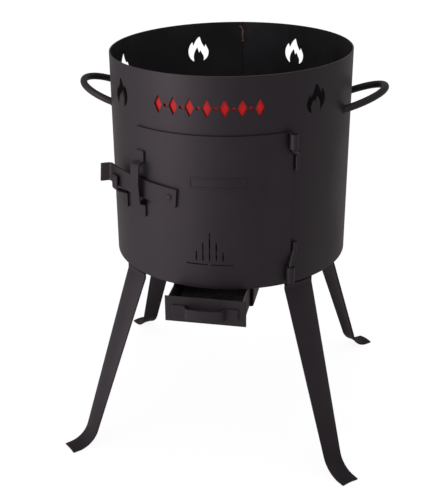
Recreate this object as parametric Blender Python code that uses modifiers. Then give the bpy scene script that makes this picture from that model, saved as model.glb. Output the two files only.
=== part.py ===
"""Cauldron stove: a steel drum on four splayed legs, with a hinged fire door and an ash drawer.

Metres, +Z up. The origin is on the ground, under the drum's axis. The front is at -Y.
An angle on the drum is measured from the front, positive towards +X.
"""
import math

import bmesh
import bpy
from mathutils import Matrix, Vector

# Drum
DRUM_RADIUS = 0.170
DRUM_WALL = 0.002
DRUM_HEIGHT = 0.2955
DRUM_BOTTOM_Z = 0.269
FACET_ANGLE = 2.5
SEAT_GAP = 0.0003
CUT_OVERRUN = 0.004

# Fire opening and door
DOOR_HALF_ANGLE = 37.3
DOOR_SHEET = 0.002
DOOR_STANDOFF = 0.001
DOOR_RISE = 0.005
DOOR_HEIGHT = 0.2135
DOOR_OVERLAP = 0.010

# Air slots in the door
SLOT_WIDTH = 0.0019
SLOT_PITCH = 0.0092
SLOT_FOOT_RISE = 0.038
SLOT_HEIGHTS = (0.014, 0.027, 0.042, 0.027, 0.014)
SILL_SLOT_LENGTH = 0.030
SILL_SLOT_GAP = 0.005
SILL_SLOT_DROP = 0.0055

# Pressed frame on the door
FRAME_ANGLE = 3.4
FRAME_WIDTH = 0.075
FRAME_HEIGHT = 0.0155
FRAME_RIDGE = 0.0022
FRAME_LIFT = 0.0008
FRAME_RISE = 0.1415

# Hinge
HINGE_EDGE_LAP = 0.0025
SLEEVE_RADIUS = 0.006
SLEEVE_LENGTH_TOP = 0.0202
SLEEVE_LENGTH_BOTTOM = 0.0235
SLEEVE_END_MARGIN = 0.0008
PIN_RADIUS = 0.003
PIN_RUNNING_GAP = 0.0004
PIN_SIDE_STEP = 0.0094
PIN_REACH = 0.017
PIN_NECK = 0.0035
PIN_JOGGLE_RISE_TOP = 0.006
PIN_JOGGLE_RISE_BOTTOM = 0.018
PIN_WELD_LENGTH_TOP = 0.023
PIN_WELD_LENGTH_BOTTOM = 0.012
PIN_BEND = 0.005

# Latch lever
LEVER_ANGLE = -18.3
LEVER_RISE = 0.1305
LEVER_TILT = 4.8
LEVER_WIDTH = 0.026
LEVER_THICKNESS = 0.003
LEVER_TAIL = 0.011
LEVER_LENGTH = 0.118
LEVER_BEND_RADIUS = 0.235
LEVER_DOOR_GAP = 0.0009
LEVER_TAB = 0.0145
LEVER_TAB_BEND = 0.0045
RIVET_RADIUS = 0.003
RIVET_HEAD_RADIUS = 0.0044
RIVET_HEAD_HEIGHT = 0.0016
RIVET_CROWN_SHARES = (0.75, 0.80)

# Latch guide on the door
STRAP_WIDTH = 0.016
STRAP_THICKNESS = 0.0025
STRAP_BEND = 0.0032
GUIDE_EDGE_MARGIN = 0.0002
GUIDE_BOTTOM_RISE = 0.090
GUIDE_FOOT = 0.0175
GUIDE_STEP = 0.0035
GUIDE_LENGTH = 0.094
GUIDE_OUT_END = 0.0095
GUIDE_OUT_MIDDLE = 0.0115

# Latch catch on the drum
CATCH_REACH = 0.0982
CATCH_LEVER_GAP = 0.0009
CATCH_BOTTOM_RISE = 0.093
CATCH_FOOT = 0.0205
CATCH_STEP = 0.0065
CATCH_HEIGHT = 0.048

# Flame cut-outs: share of width from the middle, share of height, and whether the outline turns sharply
FLAME_WIDTH = 0.033
FLAME_HEIGHT = 0.0386
FLAME_TOP_DROP = 0.0204
FLAME_FIRST_ANGLE = 50.0
FLAME_STEP_ANGLE = 51.8
FLAME_OUTLINE_SHARES = (
    (0.215, 0.00, True),
    (0.334, 0.08, False),
    (0.443, 0.205, False),
    (0.503, 0.42, False),
    (0.471, 0.58, False),
    (0.413, 0.69, False),
    (0.300, 0.81, True),
    (0.243, 0.66, True),
    (0.185, 0.775, False),
    (0.106, 0.88, False),
    (0.028, 0.955, False),
    (-0.071, 1.00, True),
    (-0.114, 0.885, False),
    (-0.177, 0.73, False),
    (-0.294, 0.565, True),
    (-0.345, 0.69, True),
    (-0.424, 0.55, False),
    (-0.480, 0.45, False),
    (-0.503, 0.33, False),
    (-0.460, 0.185, False),
    (-0.371, 0.08, False),
    (-0.240, 0.01, True),
    (-0.254, 0.09, False),
    (-0.247, 0.195, False),
    (-0.180, 0.305, False),
    (-0.100, 0.435, True),
    (-0.052, 0.335, True),
    (-0.008, 0.405, False),
    (0.050, 0.56, True),
    (0.129, 0.465, False),
    (0.196, 0.34, False),
    (0.228, 0.20, False),
    (0.211, 0.07, False),
)

# Front ornament: lozenges and dots over a red strip
ORNAMENT_HEIGHT_SHARE = 0.461
ORNAMENT_MIDDLE_ANGLE = -1.0
LOZENGE_COUNT = 7
LOZENGE_STEP_ANGLE = 7.7
LOZENGE_WIDTH = 0.0125
LOZENGE_HEIGHT = 0.0245
DOT_RADIUS = 0.0026
RED_STRIP_THICKNESS = 0.0015
RED_STRIP_HEIGHT = 0.035
RED_STRIP_HALF_ANGLE = 30.0

# Bottom plate and fire grate
PLATE_THICKNESS = 0.002
PLATE_RISE = 0.001
PLATE_EDGE_GAP = 0.0004
ASH_HOLE_WIDTH = 0.086
ASH_HOLE_LENGTH = 0.126
GRATE_LAP = 0.014
GRATE_THICKNESS = 0.004
GRATE_SLOT_COUNT = 7
GRATE_SLOT_WIDTH = 0.007
GRATE_CORNER = 0.008

# Legs
LEG_THICKNESS = 0.003
LEG_WIDTH_TOP = 0.047
LEG_WIDTH_ANKLE = 0.0292
LEG_WIDTH_TOE = 0.0273
LEG_TAB = 0.038
LEG_BEND_Z = 0.259
LEG_BEND_RADIUS = 0.012
LEG_SPLAY = 20.4
LEG_GUTTER_RADIUS = 0.053
LEG_GUTTER_FADE = 0.016
LEG_FOOT_RADIUS = 0.035
LEG_TOE_DIP = 3.0
LEG_TOE_LENGTH = 0.010
LEG_TOE_WEAR = 0.0008
LEG_WALL_GAP = 0.0004
LEG_NOTCH_GAP = 0.0006
LEG_FIRST_ANGLE = 45.0
LEG_NAMES = ("leg_front_right", "leg_back_right", "leg_back_left", "leg_front_left")

# Turn of the legs, rails and drawer from the middle of the fire opening
UNDER_TURN = -0.7

# Side handles
HANDLE_ROD_RADIUS = 0.005
HANDLE_HALF_WIDTH = 0.047
HANDLE_REACH = 0.0455
HANDLE_RISE = 0.2240
HANDLE_LIFT = 0.020
HANDLE_ROUNDNESS = 0.92

# Ash drawer and its rails
RAIL_HALF_GAP = 0.0555
RAIL_THICKNESS = 0.002
RAIL_DROP = 0.0402
RAIL_LIP = 0.012
RAIL_BEND = 0.0025
RAIL_FRONT_Y = -0.137
RAIL_LENGTH = 0.200
TRAY_SIDE_GAP = 0.0034
TRAY_SHEET = 0.0015
TRAY_TOP_GAP = 0.0045
TRAY_LENGTH = 0.205
DRAWER_FRONT_Y = -0.197
DRAWER_FRONT_SHEET = 0.002
DRAWER_FRONT_MARGIN = 0.0008
DRAWER_FRONT_RISE = 0.0014
DRAWER_FRONT_DROP = 0.0034
DRAWER_FRONT_BEVEL = 0.0007
PULL_HALF_LENGTH = 0.0455
PULL_FOOT = 0.0165
PULL_HEIGHT = 0.0155
PULL_THICKNESS = 0.0025
PULL_OUT = 0.0132
PULL_SHOULDER_OUT = 0.0095
PULL_SHOULDER = 0.0045
PULL_BEND = 0.0032
PULL_DROP = 0.0018

# Worked out from the sizes above
RIM_Z = DRUM_BOTTOM_Z + DRUM_HEIGHT
DRUM_INSIDE = DRUM_RADIUS - DRUM_WALL
DOOR_INSIDE = DRUM_RADIUS + DOOR_STANDOFF
DOOR_OUTSIDE = DOOR_INSIDE + DOOR_SHEET
DOOR_BOTTOM_Z = DRUM_BOTTOM_Z + DOOR_RISE
DOOR_TOP_Z = DOOR_BOTTOM_Z + DOOR_HEIGHT
FLAME_BOTTOM_Z = RIM_Z - FLAME_TOP_DROP - FLAME_HEIGHT
ORNAMENT_Z = DOOR_TOP_Z + (RIM_Z - DOOR_TOP_Z) * ORNAMENT_HEIGHT_SHARE
HINGE_ANGLE = DOOR_HALF_ANGLE - math.degrees(HINGE_EDGE_LAP / DOOR_OUTSIDE)
HINGE_RADIUS = DOOR_OUTSIDE + SEAT_GAP + SLEEVE_RADIUS
LEVER_Z = DRUM_BOTTOM_Z + LEVER_RISE
LEVER_INSIDE = DOOR_OUTSIDE + LEVER_DOOR_GAP
LEVER_OUTSIDE = LEVER_INSIDE + LEVER_THICKNESS
GUIDE_ANGLE = math.degrees((STRAP_WIDTH / 2 + GUIDE_EDGE_MARGIN) / DOOR_OUTSIDE) - DOOR_HALF_ANGLE
LEG_TAB_RADIUS = DRUM_INSIDE - LEG_WALL_GAP - LEG_THICKNESS / 2
PLATE_Z = DRUM_BOTTOM_Z + PLATE_RISE
GRATE_Z = PLATE_Z + PLATE_THICKNESS + SEAT_GAP
RAIL_TOP_Z = PLATE_Z - SEAT_GAP
RAIL_BOTTOM_Z = RAIL_TOP_Z - RAIL_DROP
TRAY_BOTTOM_Z = RAIL_BOTTOM_Z + RAIL_THICKNESS + SEAT_GAP
TRAY_TOP_Z = PLATE_Z - TRAY_TOP_GAP
TRAY_HALF_WIDTH = RAIL_HALF_GAP - TRAY_SIDE_GAP
TRAY_FRONT_Y = DRAWER_FRONT_Y + DRAWER_FRONT_SHEET + SEAT_GAP
OVERALL_SPAN = RIM_Z

X_AXIS = Vector((1, 0, 0))
Y_AXIS = Vector((0, 1, 0))
Z_AXIS = Vector((0, 0, 1))
OUTWARD = -Y_AXIS

BLACK_PAINT = ("black_paint", (0.030, 0.028, 0.030, 1), 0.45, 0.0)
BARE_STEEL = ("bare_steel", (0.10, 0.10, 0.11, 1), 0.50, 1.0)
RED_PAINT = ("red_paint", (0.55, 0.02, 0.02, 1), 0.35, 0.0)


def clear_scene():
    """Remove every object of the open file."""
    for thing in list(bpy.data.objects):
        bpy.data.objects.remove(thing, do_unlink=True)


def new_collection(name):
    """Make a collection in the scene."""
    group = bpy.data.collections.new(name)
    bpy.context.scene.collection.children.link(group)
    return group


clear_scene()
PARTS = new_collection("cauldron_stove")
CUTTERS = new_collection("cutters")


def paint(thing, finish):
    """Give an object a Principled material of its own from a (name, colour, roughness, metallic) finish."""
    label, colour, roughness, metallic = finish
    coat = bpy.data.materials.new(f"{thing.name}_{label}")
    coat.use_nodes = True
    shader = coat.node_tree.nodes["Principled BSDF"]
    shader.inputs["Base Color"].default_value = colour
    shader.inputs["Roughness"].default_value = roughness
    shader.inputs["Metallic"].default_value = metallic
    coat.diffuse_color = colour
    thing.data.materials.append(coat)


def add_object(name, data, group=PARTS):
    """Link a mesh or curve to a collection as a new object."""
    thing = bpy.data.objects.new(name, data)
    group.objects.link(thing)
    return thing


def mesh_from(bm, name, group=PARTS):
    """Turn a bmesh into an object, and free it."""
    mesh = bpy.data.meshes.new(name)
    bm.to_mesh(mesh)
    bm.free()
    return add_object(name, mesh, group)


def smooth(thing, angle=30.0):
    """Shade an object smooth but for its sharp edges."""
    thing.data.shade_smooth()
    thing.data.set_sharp_from_angle(angle=math.radians(angle))


def thicken(thing, thickness, offset):
    """Give an open surface its sheet thickness. Offset -1 is behind the normals, 0 is both sides."""
    shell = thing.modifiers.new("sheet", "SOLIDIFY")
    shell.thickness = thickness
    shell.offset = offset
    shell.use_even_offset = True


def round_edges(thing, width, segments=2):
    """Bevel the sharp edges of an object."""
    bevel = thing.modifiers.new("edges", "BEVEL")
    bevel.width = width
    bevel.segments = segments
    bevel.limit_method = "ANGLE"
    bevel.angle_limit = math.radians(40)


def make_cutter(bm, name):
    """Turn a bmesh into a hidden cutting body."""
    cutter = mesh_from(bm, name, CUTTERS)
    cutter.hide_render = True
    cutter.display_type = "WIRE"
    return cutter


def boolean(thing, other, operation="DIFFERENCE"):
    """Cut one object with another, or join them."""
    step = thing.modifiers.new(other.name, "BOOLEAN")
    step.operation = operation
    step.solver = "EXACT"
    step.object = other


def turn_z(angle):
    """Rotation that brings a shape made at the front to an angle on the drum."""
    return Matrix.Rotation(math.radians(angle), 4, "Z")


def wall_point(angle, radius, height):
    """Point at an angle on the drum, a distance from its axis and a height above the ground."""
    return turn_z(angle) @ (OUTWARD * radius + Z_AXIS * height)


def add_box(bm, low, high, place=None):
    """Add a box between two corners to a bmesh."""
    made = bmesh.ops.create_cube(bm, size=1.0)["verts"]
    low, high = Vector(low), Vector(high)
    size = high - low
    fit = Matrix.Translation((low + high) / 2) @ Matrix.Diagonal((*size, 1))
    bmesh.ops.transform(bm, matrix=(place or Matrix()) @ fit, verts=made)


def add_sheet(bm, radius, angles, heights):
    """Add an open patch of a cylinder around the drum's axis to a bmesh, its normals pointing out."""
    first, last = angles
    count = max(1, math.ceil((last - first) / FACET_ANGLE))
    columns = []
    for step in range(count + 1):
        angle = first + (last - first) * step / count
        columns.append([bm.verts.new(wall_point(angle, radius, height)) for height in heights])
    for left, right in zip(columns, columns[1:]):
        for row in range(len(heights) - 1):
            bm.faces.new((left[row], right[row], right[row + 1], left[row + 1]))


def curved_plate(name, inside, thickness, angles, heights, group=PARTS):
    """Make a sheet rolled around the drum's axis, from its inner radius out."""
    bm = bmesh.new()
    add_sheet(bm, inside + thickness, angles, heights)
    plate = mesh_from(bm, name, group)
    thicken(plate, thickness, -1)
    return plate


def rounded_path(points, radius, steps=4):
    """Round the inner corners of a chain of points with arcs of one radius."""
    path = [points[0].copy()]
    for before, corner, after in zip(points, points[1:], points[2:]):
        back, ahead = (before - corner).normalized(), (after - corner).normalized()
        half_turn = (math.pi - back.angle(ahead)) / 2
        reach = radius * math.tan(half_turn)
        middle = (back + ahead).normalized() * (radius / math.cos(half_turn))
        centre = corner + middle
        start = corner + back * reach - centre
        end = corner + ahead * reach - centre
        for step in range(steps + 1):
            share = step / steps
            blend = (start * math.sin((1 - share) * 2 * half_turn) + end * math.sin(share * 2 * half_turn))
            path.append(centre + blend / math.sin(2 * half_turn))
    path.append(points[-1].copy())
    return path


def bent_strip(name, path, width, thickness, axes):
    """Make a flat strip bent along a path of 2-D points. Axes are the path's two and the width's."""
    along, across, side = axes
    bm = bmesh.new()
    rows = []
    for point in path:
        middle = along * point.x + across * point.y
        rows.append([bm.verts.new(middle + side * (width / 2 * sign)) for sign in (-1, 1)])
    for first, second in zip(rows, rows[1:]):
        bm.faces.new((first[0], second[0], second[1], first[1]))
    strip = mesh_from(bm, name)
    thicken(strip, thickness, 0)
    return strip


def rod(name, points, radius, sides=4):
    """Make a round rod along a chain of points."""
    curve = bpy.data.curves.new(name, "CURVE")
    curve.dimensions = "3D"
    curve.bevel_depth = radius
    curve.bevel_resolution = sides
    curve.use_fill_caps = True
    line = curve.splines.new("POLY")
    line.points.add(len(points) - 1)
    for slot, point in zip(line.points, points):
        slot.co = (*point, 1)
    return add_object(name, curve)


def as_mesh(thing):
    """Replace a curve object by a closed mesh object of the same name and place."""
    name, place, groups = thing.name, thing.matrix_world.copy(), thing.users_collection
    bpy.context.view_layer.update()
    evaluated = thing.evaluated_get(bpy.context.evaluated_depsgraph_get())
    mesh = bpy.data.meshes.new_from_object(evaluated)
    bpy.data.objects.remove(thing, do_unlink=True)
    bm = bmesh.new()
    bm.from_mesh(mesh)
    bmesh.ops.remove_doubles(bm, verts=bm.verts, dist=SEAT_GAP / 100)
    bm.to_mesh(mesh)
    bm.free()
    mesh.name = name
    solid = add_object(name, mesh, groups[0])
    solid.matrix_world = place
    return solid


def turned(name, profile, steps, group=PARTS, closed=False):
    """Turn a profile of (radius, height) points round the Z axis. It runs down its outer side."""
    mesh = bpy.data.meshes.new(name)
    corners = [(radius, 0, height) for radius, height in profile]
    edges = [(index, index + 1) for index in range(len(profile) - 1)]
    if closed:
        edges.append((len(profile) - 1, 0))
    mesh.from_pydata(corners, edges, [])
    thing = add_object(name, mesh, group)
    screw = thing.modifiers.new("turn", "SCREW")
    screw.steps = steps
    screw.render_steps = steps
    screw.use_merge_vertices = True
    screw.merge_threshold = SEAT_GAP / 100
    return thing


def pivot_empty(name, location, parent=None):
    """Add an empty on a joint's axis, to carry the pieces that move about it."""
    empty = add_object(name, None)
    empty.empty_display_size = SLEEVE_RADIUS
    empty.location = location
    if parent:
        hang(empty, parent)
    return empty


def hang(thing, parent):
    """Parent an object to an empty that is only translated, where it stands."""
    place = Vector()
    step = parent
    while step:
        place += step.location
        step = step.parent
    thing.parent = parent
    thing.location = thing.location - place


def flame_outline():
    """Points of one flame cut-out, seen from outside, its foot at height zero."""
    curve = bpy.data.curves.new("flame_outline", "CURVE")
    curve.dimensions = "2D"
    curve.fill_mode = "BOTH"
    curve.resolution_u = 2
    line = curve.splines.new("BEZIER")
    line.use_cyclic_u = True
    line.bezier_points.add(len(FLAME_OUTLINE_SHARES) - 1)
    for point, (across, up, sharp) in zip(line.bezier_points, FLAME_OUTLINE_SHARES):
        point.co = (across * FLAME_WIDTH, up * FLAME_HEIGHT, 0)
        kind = "VECTOR" if sharp else "AUTO"
        point.handle_left_type = kind
        point.handle_right_type = kind
    curve.extrude = DRUM_WALL / 2 + CUT_OVERRUN
    return as_mesh(add_object("flame_outline", curve, CUTTERS))


def add_flames(bm):
    """Add the six flame prisms, in the drum's wall, to a cutter's bmesh."""
    outline = flame_outline()
    upright = Matrix.Rotation(math.radians(90), 4, "X")
    seat = Matrix.Translation(OUTWARD * (DRUM_RADIUS - DRUM_WALL / 2) + Z_AXIS * FLAME_BOTTOM_Z)
    for side in (-1, 1):
        for index in range(3):
            angle = side * (FLAME_FIRST_ANGLE + index * FLAME_STEP_ANGLE)
            start = len(bm.verts)
            bm.from_mesh(outline.data)
            bm.verts.ensure_lookup_table()
            bmesh.ops.transform(bm, matrix=turn_z(angle) @ seat @ upright, verts=bm.verts[start:])
    bpy.data.objects.remove(outline, do_unlink=True)


def add_wall_prism(bm, angle, height, radius_x, radius_z, corners):
    """Add a radial prism through the drum's wall, with a regular outline of so many corners."""
    made = bmesh.ops.create_cone(
        bm, cap_ends=True, segments=corners, radius1=1, radius2=1, depth=DRUM_WALL + 2 * CUT_OVERRUN)["verts"]
    lay = Matrix.Rotation(math.radians(90), 4, "X") @ Matrix.Diagonal((radius_x, radius_z, 1, 1))
    seat = Matrix.Translation(OUTWARD * (DRUM_RADIUS - DRUM_WALL / 2) + Z_AXIS * height)
    bmesh.ops.transform(bm, matrix=turn_z(angle) @ seat @ lay, verts=made)


def add_ornament(bm):
    """Add the front row of lozenges and dots to a cutter's bmesh."""
    first = ORNAMENT_MIDDLE_ANGLE - LOZENGE_STEP_ANGLE * (LOZENGE_COUNT - 1) / 2
    for index in range(LOZENGE_COUNT):
        angle = first + index * LOZENGE_STEP_ANGLE
        add_wall_prism(bm, angle, ORNAMENT_Z, LOZENGE_WIDTH / 2, LOZENGE_HEIGHT / 2, 4)
        if index:
            add_wall_prism(bm, angle - LOZENGE_STEP_ANGLE / 2, ORNAMENT_Z, DOT_RADIUS, DOT_RADIUS, 12)


def make_drum():
    """Rolled drum wall with its fire opening, flames and front ornament."""
    bm = bmesh.new()
    middle = Matrix.Translation(Z_AXIS * (DRUM_BOTTOM_Z + DRUM_HEIGHT / 2))
    bmesh.ops.create_cone(
        bm, segments=round(360 / FACET_ANGLE), radius1=DRUM_RADIUS, radius2=DRUM_RADIUS,
        depth=DRUM_HEIGHT, matrix=middle @ turn_z(FACET_ANGLE / 2))
    drum = mesh_from(bm, "drum_shell")
    thicken(drum, DRUM_WALL, -1)
    half_angle = DOOR_HALF_ANGLE - math.degrees(DOOR_OVERLAP / DRUM_RADIUS)
    opening = curved_plate(
        "fire_opening", DRUM_INSIDE - CUT_OVERRUN, DRUM_WALL + 2 * CUT_OVERRUN, (-half_angle, half_angle),
        (DOOR_BOTTOM_Z + DOOR_OVERLAP, DOOR_TOP_Z - DOOR_OVERLAP), CUTTERS)
    opening.hide_render = True
    opening.display_type = "WIRE"
    boolean(drum, opening)
    bm = bmesh.new()
    add_flames(bm)
    add_ornament(bm)
    boolean(drum, make_cutter(bm, "wall_pattern"))
    smooth(drum)
    paint(drum, BLACK_PAINT)


def make_red_strip():
    """Red strip behind the ornament, seated on the wall's inner face."""
    inside = DRUM_INSIDE - 2 * SEAT_GAP - RED_STRIP_THICKNESS
    strip = curved_plate(
        "red_strip", inside, RED_STRIP_THICKNESS,
        (ORNAMENT_MIDDLE_ANGLE - RED_STRIP_HALF_ANGLE, ORNAMENT_MIDDLE_ANGLE + RED_STRIP_HALF_ANGLE),
        (ORNAMENT_Z - RED_STRIP_HEIGHT / 2, ORNAMENT_Z + RED_STRIP_HEIGHT / 2))
    smooth(strip)
    paint(strip, RED_PAINT)


def leg_path():
    """Middle line of a leg as (distance from the axis, height), its toe's underside just below the ground."""
    toe_dip, shin_dip = math.radians(LEG_TOE_DIP), math.radians(90 - LEG_SPLAY)
    toe_edge = LEG_WIDTH_TOE ** 2 / 8 / LEG_TAB_RADIUS
    toe_z = (LEG_THICKNESS / 2 + toe_edge) * math.cos(toe_dip) - LEG_TOE_WEAR
    sole_z = toe_z + LEG_TOE_LENGTH * math.sin(toe_dip)
    ankle_z = sole_z + LEG_FOOT_RADIUS * (math.cos(toe_dip) - math.cos(shin_dip))
    down = Vector((1 / math.tan(shin_dip), -1))
    bend = Vector((LEG_TAB_RADIUS, LEG_BEND_Z))
    ankle = bend + down * (LEG_BEND_Z - ankle_z)
    path = rounded_path([Vector((LEG_TAB_RADIUS, PLATE_Z + LEG_TAB)), bend, ankle], LEG_BEND_RADIUS)
    path.insert(-1, bend + down * LEG_GUTTER_FADE)
    centre = ankle + Vector((math.sin(shin_dip), math.cos(shin_dip))) * LEG_FOOT_RADIUS
    steps = 10
    for step in range(1, steps + 1):
        dip = shin_dip + (toe_dip - shin_dip) * step / steps
        path.append(centre - Vector((math.sin(dip), math.cos(dip))) * LEG_FOOT_RADIUS)
    path.append(path[-1] + Vector((math.cos(toe_dip), -math.sin(toe_dip))) * LEG_TOE_LENGTH)
    return path, ankle_z


def leg_width(height, ankle_z):
    """Width of a leg at a height."""
    if height >= LEG_BEND_Z:
        return LEG_WIDTH_TOP
    if height >= ankle_z:
        share = (height - ankle_z) / (LEG_BEND_Z - ankle_z)
        return LEG_WIDTH_ANKLE + (LEG_WIDTH_TOP - LEG_WIDTH_ANKLE) * share
    return LEG_WIDTH_TOE + (LEG_WIDTH_ANKLE - LEG_WIDTH_TOE) * max(0, height) / ankle_z


def leg_depth(height, half):
    """Depth of a leg's curved section at a height: the drum's curve in the tab, a deeper gutter below it."""
    share = min(1, max(0, (LEG_BEND_Z - height) / LEG_GUTTER_FADE))
    return half ** 2 / 2 * ((1 - share) / LEG_TAB_RADIUS + share / LEG_GUTTER_RADIUS)


def leg_mesh():
    """Gutter-shaped strip from the tab inside the drum down to the toe, at the front."""
    path, ankle_z = leg_path()
    columns = (-1, -0.67, -0.33, 0, 0.33, 0.67, 1)
    bm = bmesh.new()
    rows = []
    for index, point in enumerate(path):
        before, after = path[max(index - 1, 0)], path[min(index + 1, len(path) - 1)]
        ahead = (after - before).normalized()
        out = Vector((-ahead.y, ahead.x))
        half = leg_width(point.y, ankle_z) / 2
        depth, edge = leg_depth(point.y, half), half ** 2 / 2 / LEG_TAB_RADIUS
        row = []
        for column in columns:
            spot = point + out * (depth * (1 - column ** 2) - edge)
            row.append(bm.verts.new(X_AXIS * (half * column) + OUTWARD * spot.x + Z_AXIS * spot.y))
        rows.append(row)
    for upper, lower in zip(rows, rows[1:]):
        for column in range(len(columns) - 1):
            bm.faces.new((upper[column], lower[column], lower[column + 1], upper[column + 1]))
    mesh = bpy.data.meshes.new("leg")
    bm.to_mesh(mesh)
    bm.free()
    return mesh


def make_legs():
    """Four legs, welded inside the drum, with toes worn flat on the ground."""
    bm = bmesh.new()
    add_box(bm, (-OVERALL_SPAN, -OVERALL_SPAN, -CUT_OVERRUN), (OVERALL_SPAN, OVERALL_SPAN, 0))
    ground = make_cutter(bm, "ground")
    pattern = leg_mesh()
    for index, name in enumerate(LEG_NAMES):
        leg = add_object(name, pattern.copy())
        leg.data.name = name
        leg.rotation_euler.z = math.radians(LEG_FIRST_ANGLE + UNDER_TURN + index * 90)
        thicken(leg, LEG_THICKNESS, 0)
        boolean(leg, ground)
        smooth(leg)
        paint(leg, BLACK_PAINT)


def make_bottom_plate():
    """Drum floor with the ash hole and a notch for each leg's tab."""
    bm = bmesh.new()
    middle = Matrix.Translation(Z_AXIS * (PLATE_Z + PLATE_THICKNESS / 2))
    radius = DRUM_INSIDE - PLATE_EDGE_GAP
    bmesh.ops.create_cone(
        bm, cap_ends=True, segments=round(360 / FACET_ANGLE), radius1=radius, radius2=radius,
        depth=PLATE_THICKNESS, matrix=middle @ turn_z(FACET_ANGLE / 2))
    plate = mesh_from(bm, "bottom_plate")
    low, high = PLATE_Z - CUT_OVERRUN, PLATE_Z + PLATE_THICKNESS + CUT_OVERRUN
    bm = bmesh.new()
    add_box(bm, (-ASH_HOLE_WIDTH / 2, -ASH_HOLE_LENGTH / 2, low), (ASH_HOLE_WIDTH / 2, ASH_HOLE_LENGTH / 2, high))
    half = LEG_WIDTH_TOP / 2 + LEG_NOTCH_GAP
    tab_inside = LEG_TAB_RADIUS - LEG_THICKNESS / 2
    depth = math.sqrt(tab_inside ** 2 - half ** 2) - 2 * LEG_NOTCH_GAP
    for index in range(len(LEG_NAMES)):
        place = turn_z(LEG_FIRST_ANGLE + UNDER_TURN + index * 90)
        add_box(bm, (-half, -DRUM_RADIUS, low), (half, -depth, high), place)
    boolean(plate, make_cutter(bm, "plate_holes"))
    smooth(plate)
    paint(plate, BARE_STEEL)


def make_grate():
    """Loose slotted grate that lies over the ash hole and lifts out."""
    half_width = ASH_HOLE_WIDTH / 2 + GRATE_LAP
    half_length = ASH_HOLE_LENGTH / 2 + GRATE_LAP
    bm = bmesh.new()
    add_box(bm, (-half_width, -half_length, 0), (half_width, half_length, GRATE_THICKNESS))
    corners = [edge for edge in bm.edges if abs(edge.verts[0].co.z - edge.verts[1].co.z) > GRATE_THICKNESS / 2]
    bmesh.ops.bevel(bm, geom=corners, offset=GRATE_CORNER, segments=4, profile=0.5, affect="EDGES")
    grate = mesh_from(bm, "fire_grate")
    bm = bmesh.new()
    pitch = ASH_HOLE_WIDTH / GRATE_SLOT_COUNT
    for index in range(GRATE_SLOT_COUNT):
        middle = (index - (GRATE_SLOT_COUNT - 1) / 2) * pitch
        add_box(
            bm, (middle - GRATE_SLOT_WIDTH / 2, -ASH_HOLE_LENGTH / 2, -CUT_OVERRUN),
            (middle + GRATE_SLOT_WIDTH / 2, ASH_HOLE_LENGTH / 2, GRATE_THICKNESS + CUT_OVERRUN))
    cutter = make_cutter(bm, "grate_slots")
    for thing in (grate, cutter):
        thing.location.z = GRATE_Z
    boolean(grate, cutter)
    smooth(grate)
    paint(grate, BARE_STEEL)
    hang(grate, pivot_empty("grate_lift", Z_AXIS * GRATE_Z))


def make_handles():
    """Two rod handles, one on each side, their ends fitted to the wall."""
    bm = bmesh.new()
    middle = Matrix.Translation(Z_AXIS * (DRUM_BOTTOM_Z + DRUM_HEIGHT / 2))
    radius = DRUM_RADIUS + SEAT_GAP
    bmesh.ops.create_cone(
        bm, cap_ends=True, segments=round(360 / FACET_ANGLE), radius1=radius, radius2=radius,
        depth=DRUM_HEIGHT + 2 * CUT_OVERRUN, matrix=middle @ turn_z(FACET_ANGLE / 2))
    drum_body = make_cutter(bm, "drum_body")
    root = math.sqrt(DRUM_RADIUS ** 2 - HANDLE_HALF_WIDTH ** 2)
    base_z = DRUM_BOTTOM_Z + HANDLE_RISE
    steps = 22
    for name, side in (("side_handle_right", 1), ("side_handle_left", -1)):
        points = [Vector((side * (root - 2 * HANDLE_ROD_RADIUS), HANDLE_HALF_WIDTH, base_z))]
        for step in range(steps + 1):
            turn = math.pi * step / steps
            share = math.sin(turn) ** HANDLE_ROUNDNESS if 0 < step < steps else 0
            out = root + (DRUM_RADIUS + HANDLE_REACH - root) * share
            points.append(Vector((side * out, HANDLE_HALF_WIDTH * math.cos(turn), base_z + HANDLE_LIFT * share)))
        points.append(Vector((points[0].x, -HANDLE_HALF_WIDTH, base_z)))
        handle = as_mesh(rod(name, points, HANDLE_ROD_RADIUS))
        boolean(handle, drum_body)
        smooth(handle, 50)
        paint(handle, BLACK_PAINT)


def hinge_point(height):
    """Point on the door's hinge axis."""
    return wall_point(HINGE_ANGLE, HINGE_RADIUS, height)


def add_slots(bm):
    """Add the door's group of air slots to a cutter's bmesh."""
    near, far = DOOR_INSIDE - CUT_OVERRUN, DOOR_OUTSIDE + CUT_OVERRUN
    foot = DOOR_BOTTOM_Z + SLOT_FOOT_RISE
    for index, height in enumerate(SLOT_HEIGHTS):
        offset = (index - (len(SLOT_HEIGHTS) - 1) / 2) * SLOT_PITCH
        place = turn_z(math.degrees(offset / DOOR_OUTSIDE))
        add_box(bm, (-SLOT_WIDTH / 2, -far, foot), (SLOT_WIDTH / 2, -near, foot + height), place)
    sill = foot - SILL_SLOT_DROP
    for side in (-1, 1):
        middle = side * (SILL_SLOT_LENGTH + SILL_SLOT_GAP) / 2
        place = turn_z(math.degrees(middle / DOOR_OUTSIDE))
        add_box(
            bm, (-SILL_SLOT_LENGTH / 2, -far, sill - SLOT_WIDTH / 2),
            (SILL_SLOT_LENGTH / 2, -near, sill + SLOT_WIDTH / 2), place)


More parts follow.
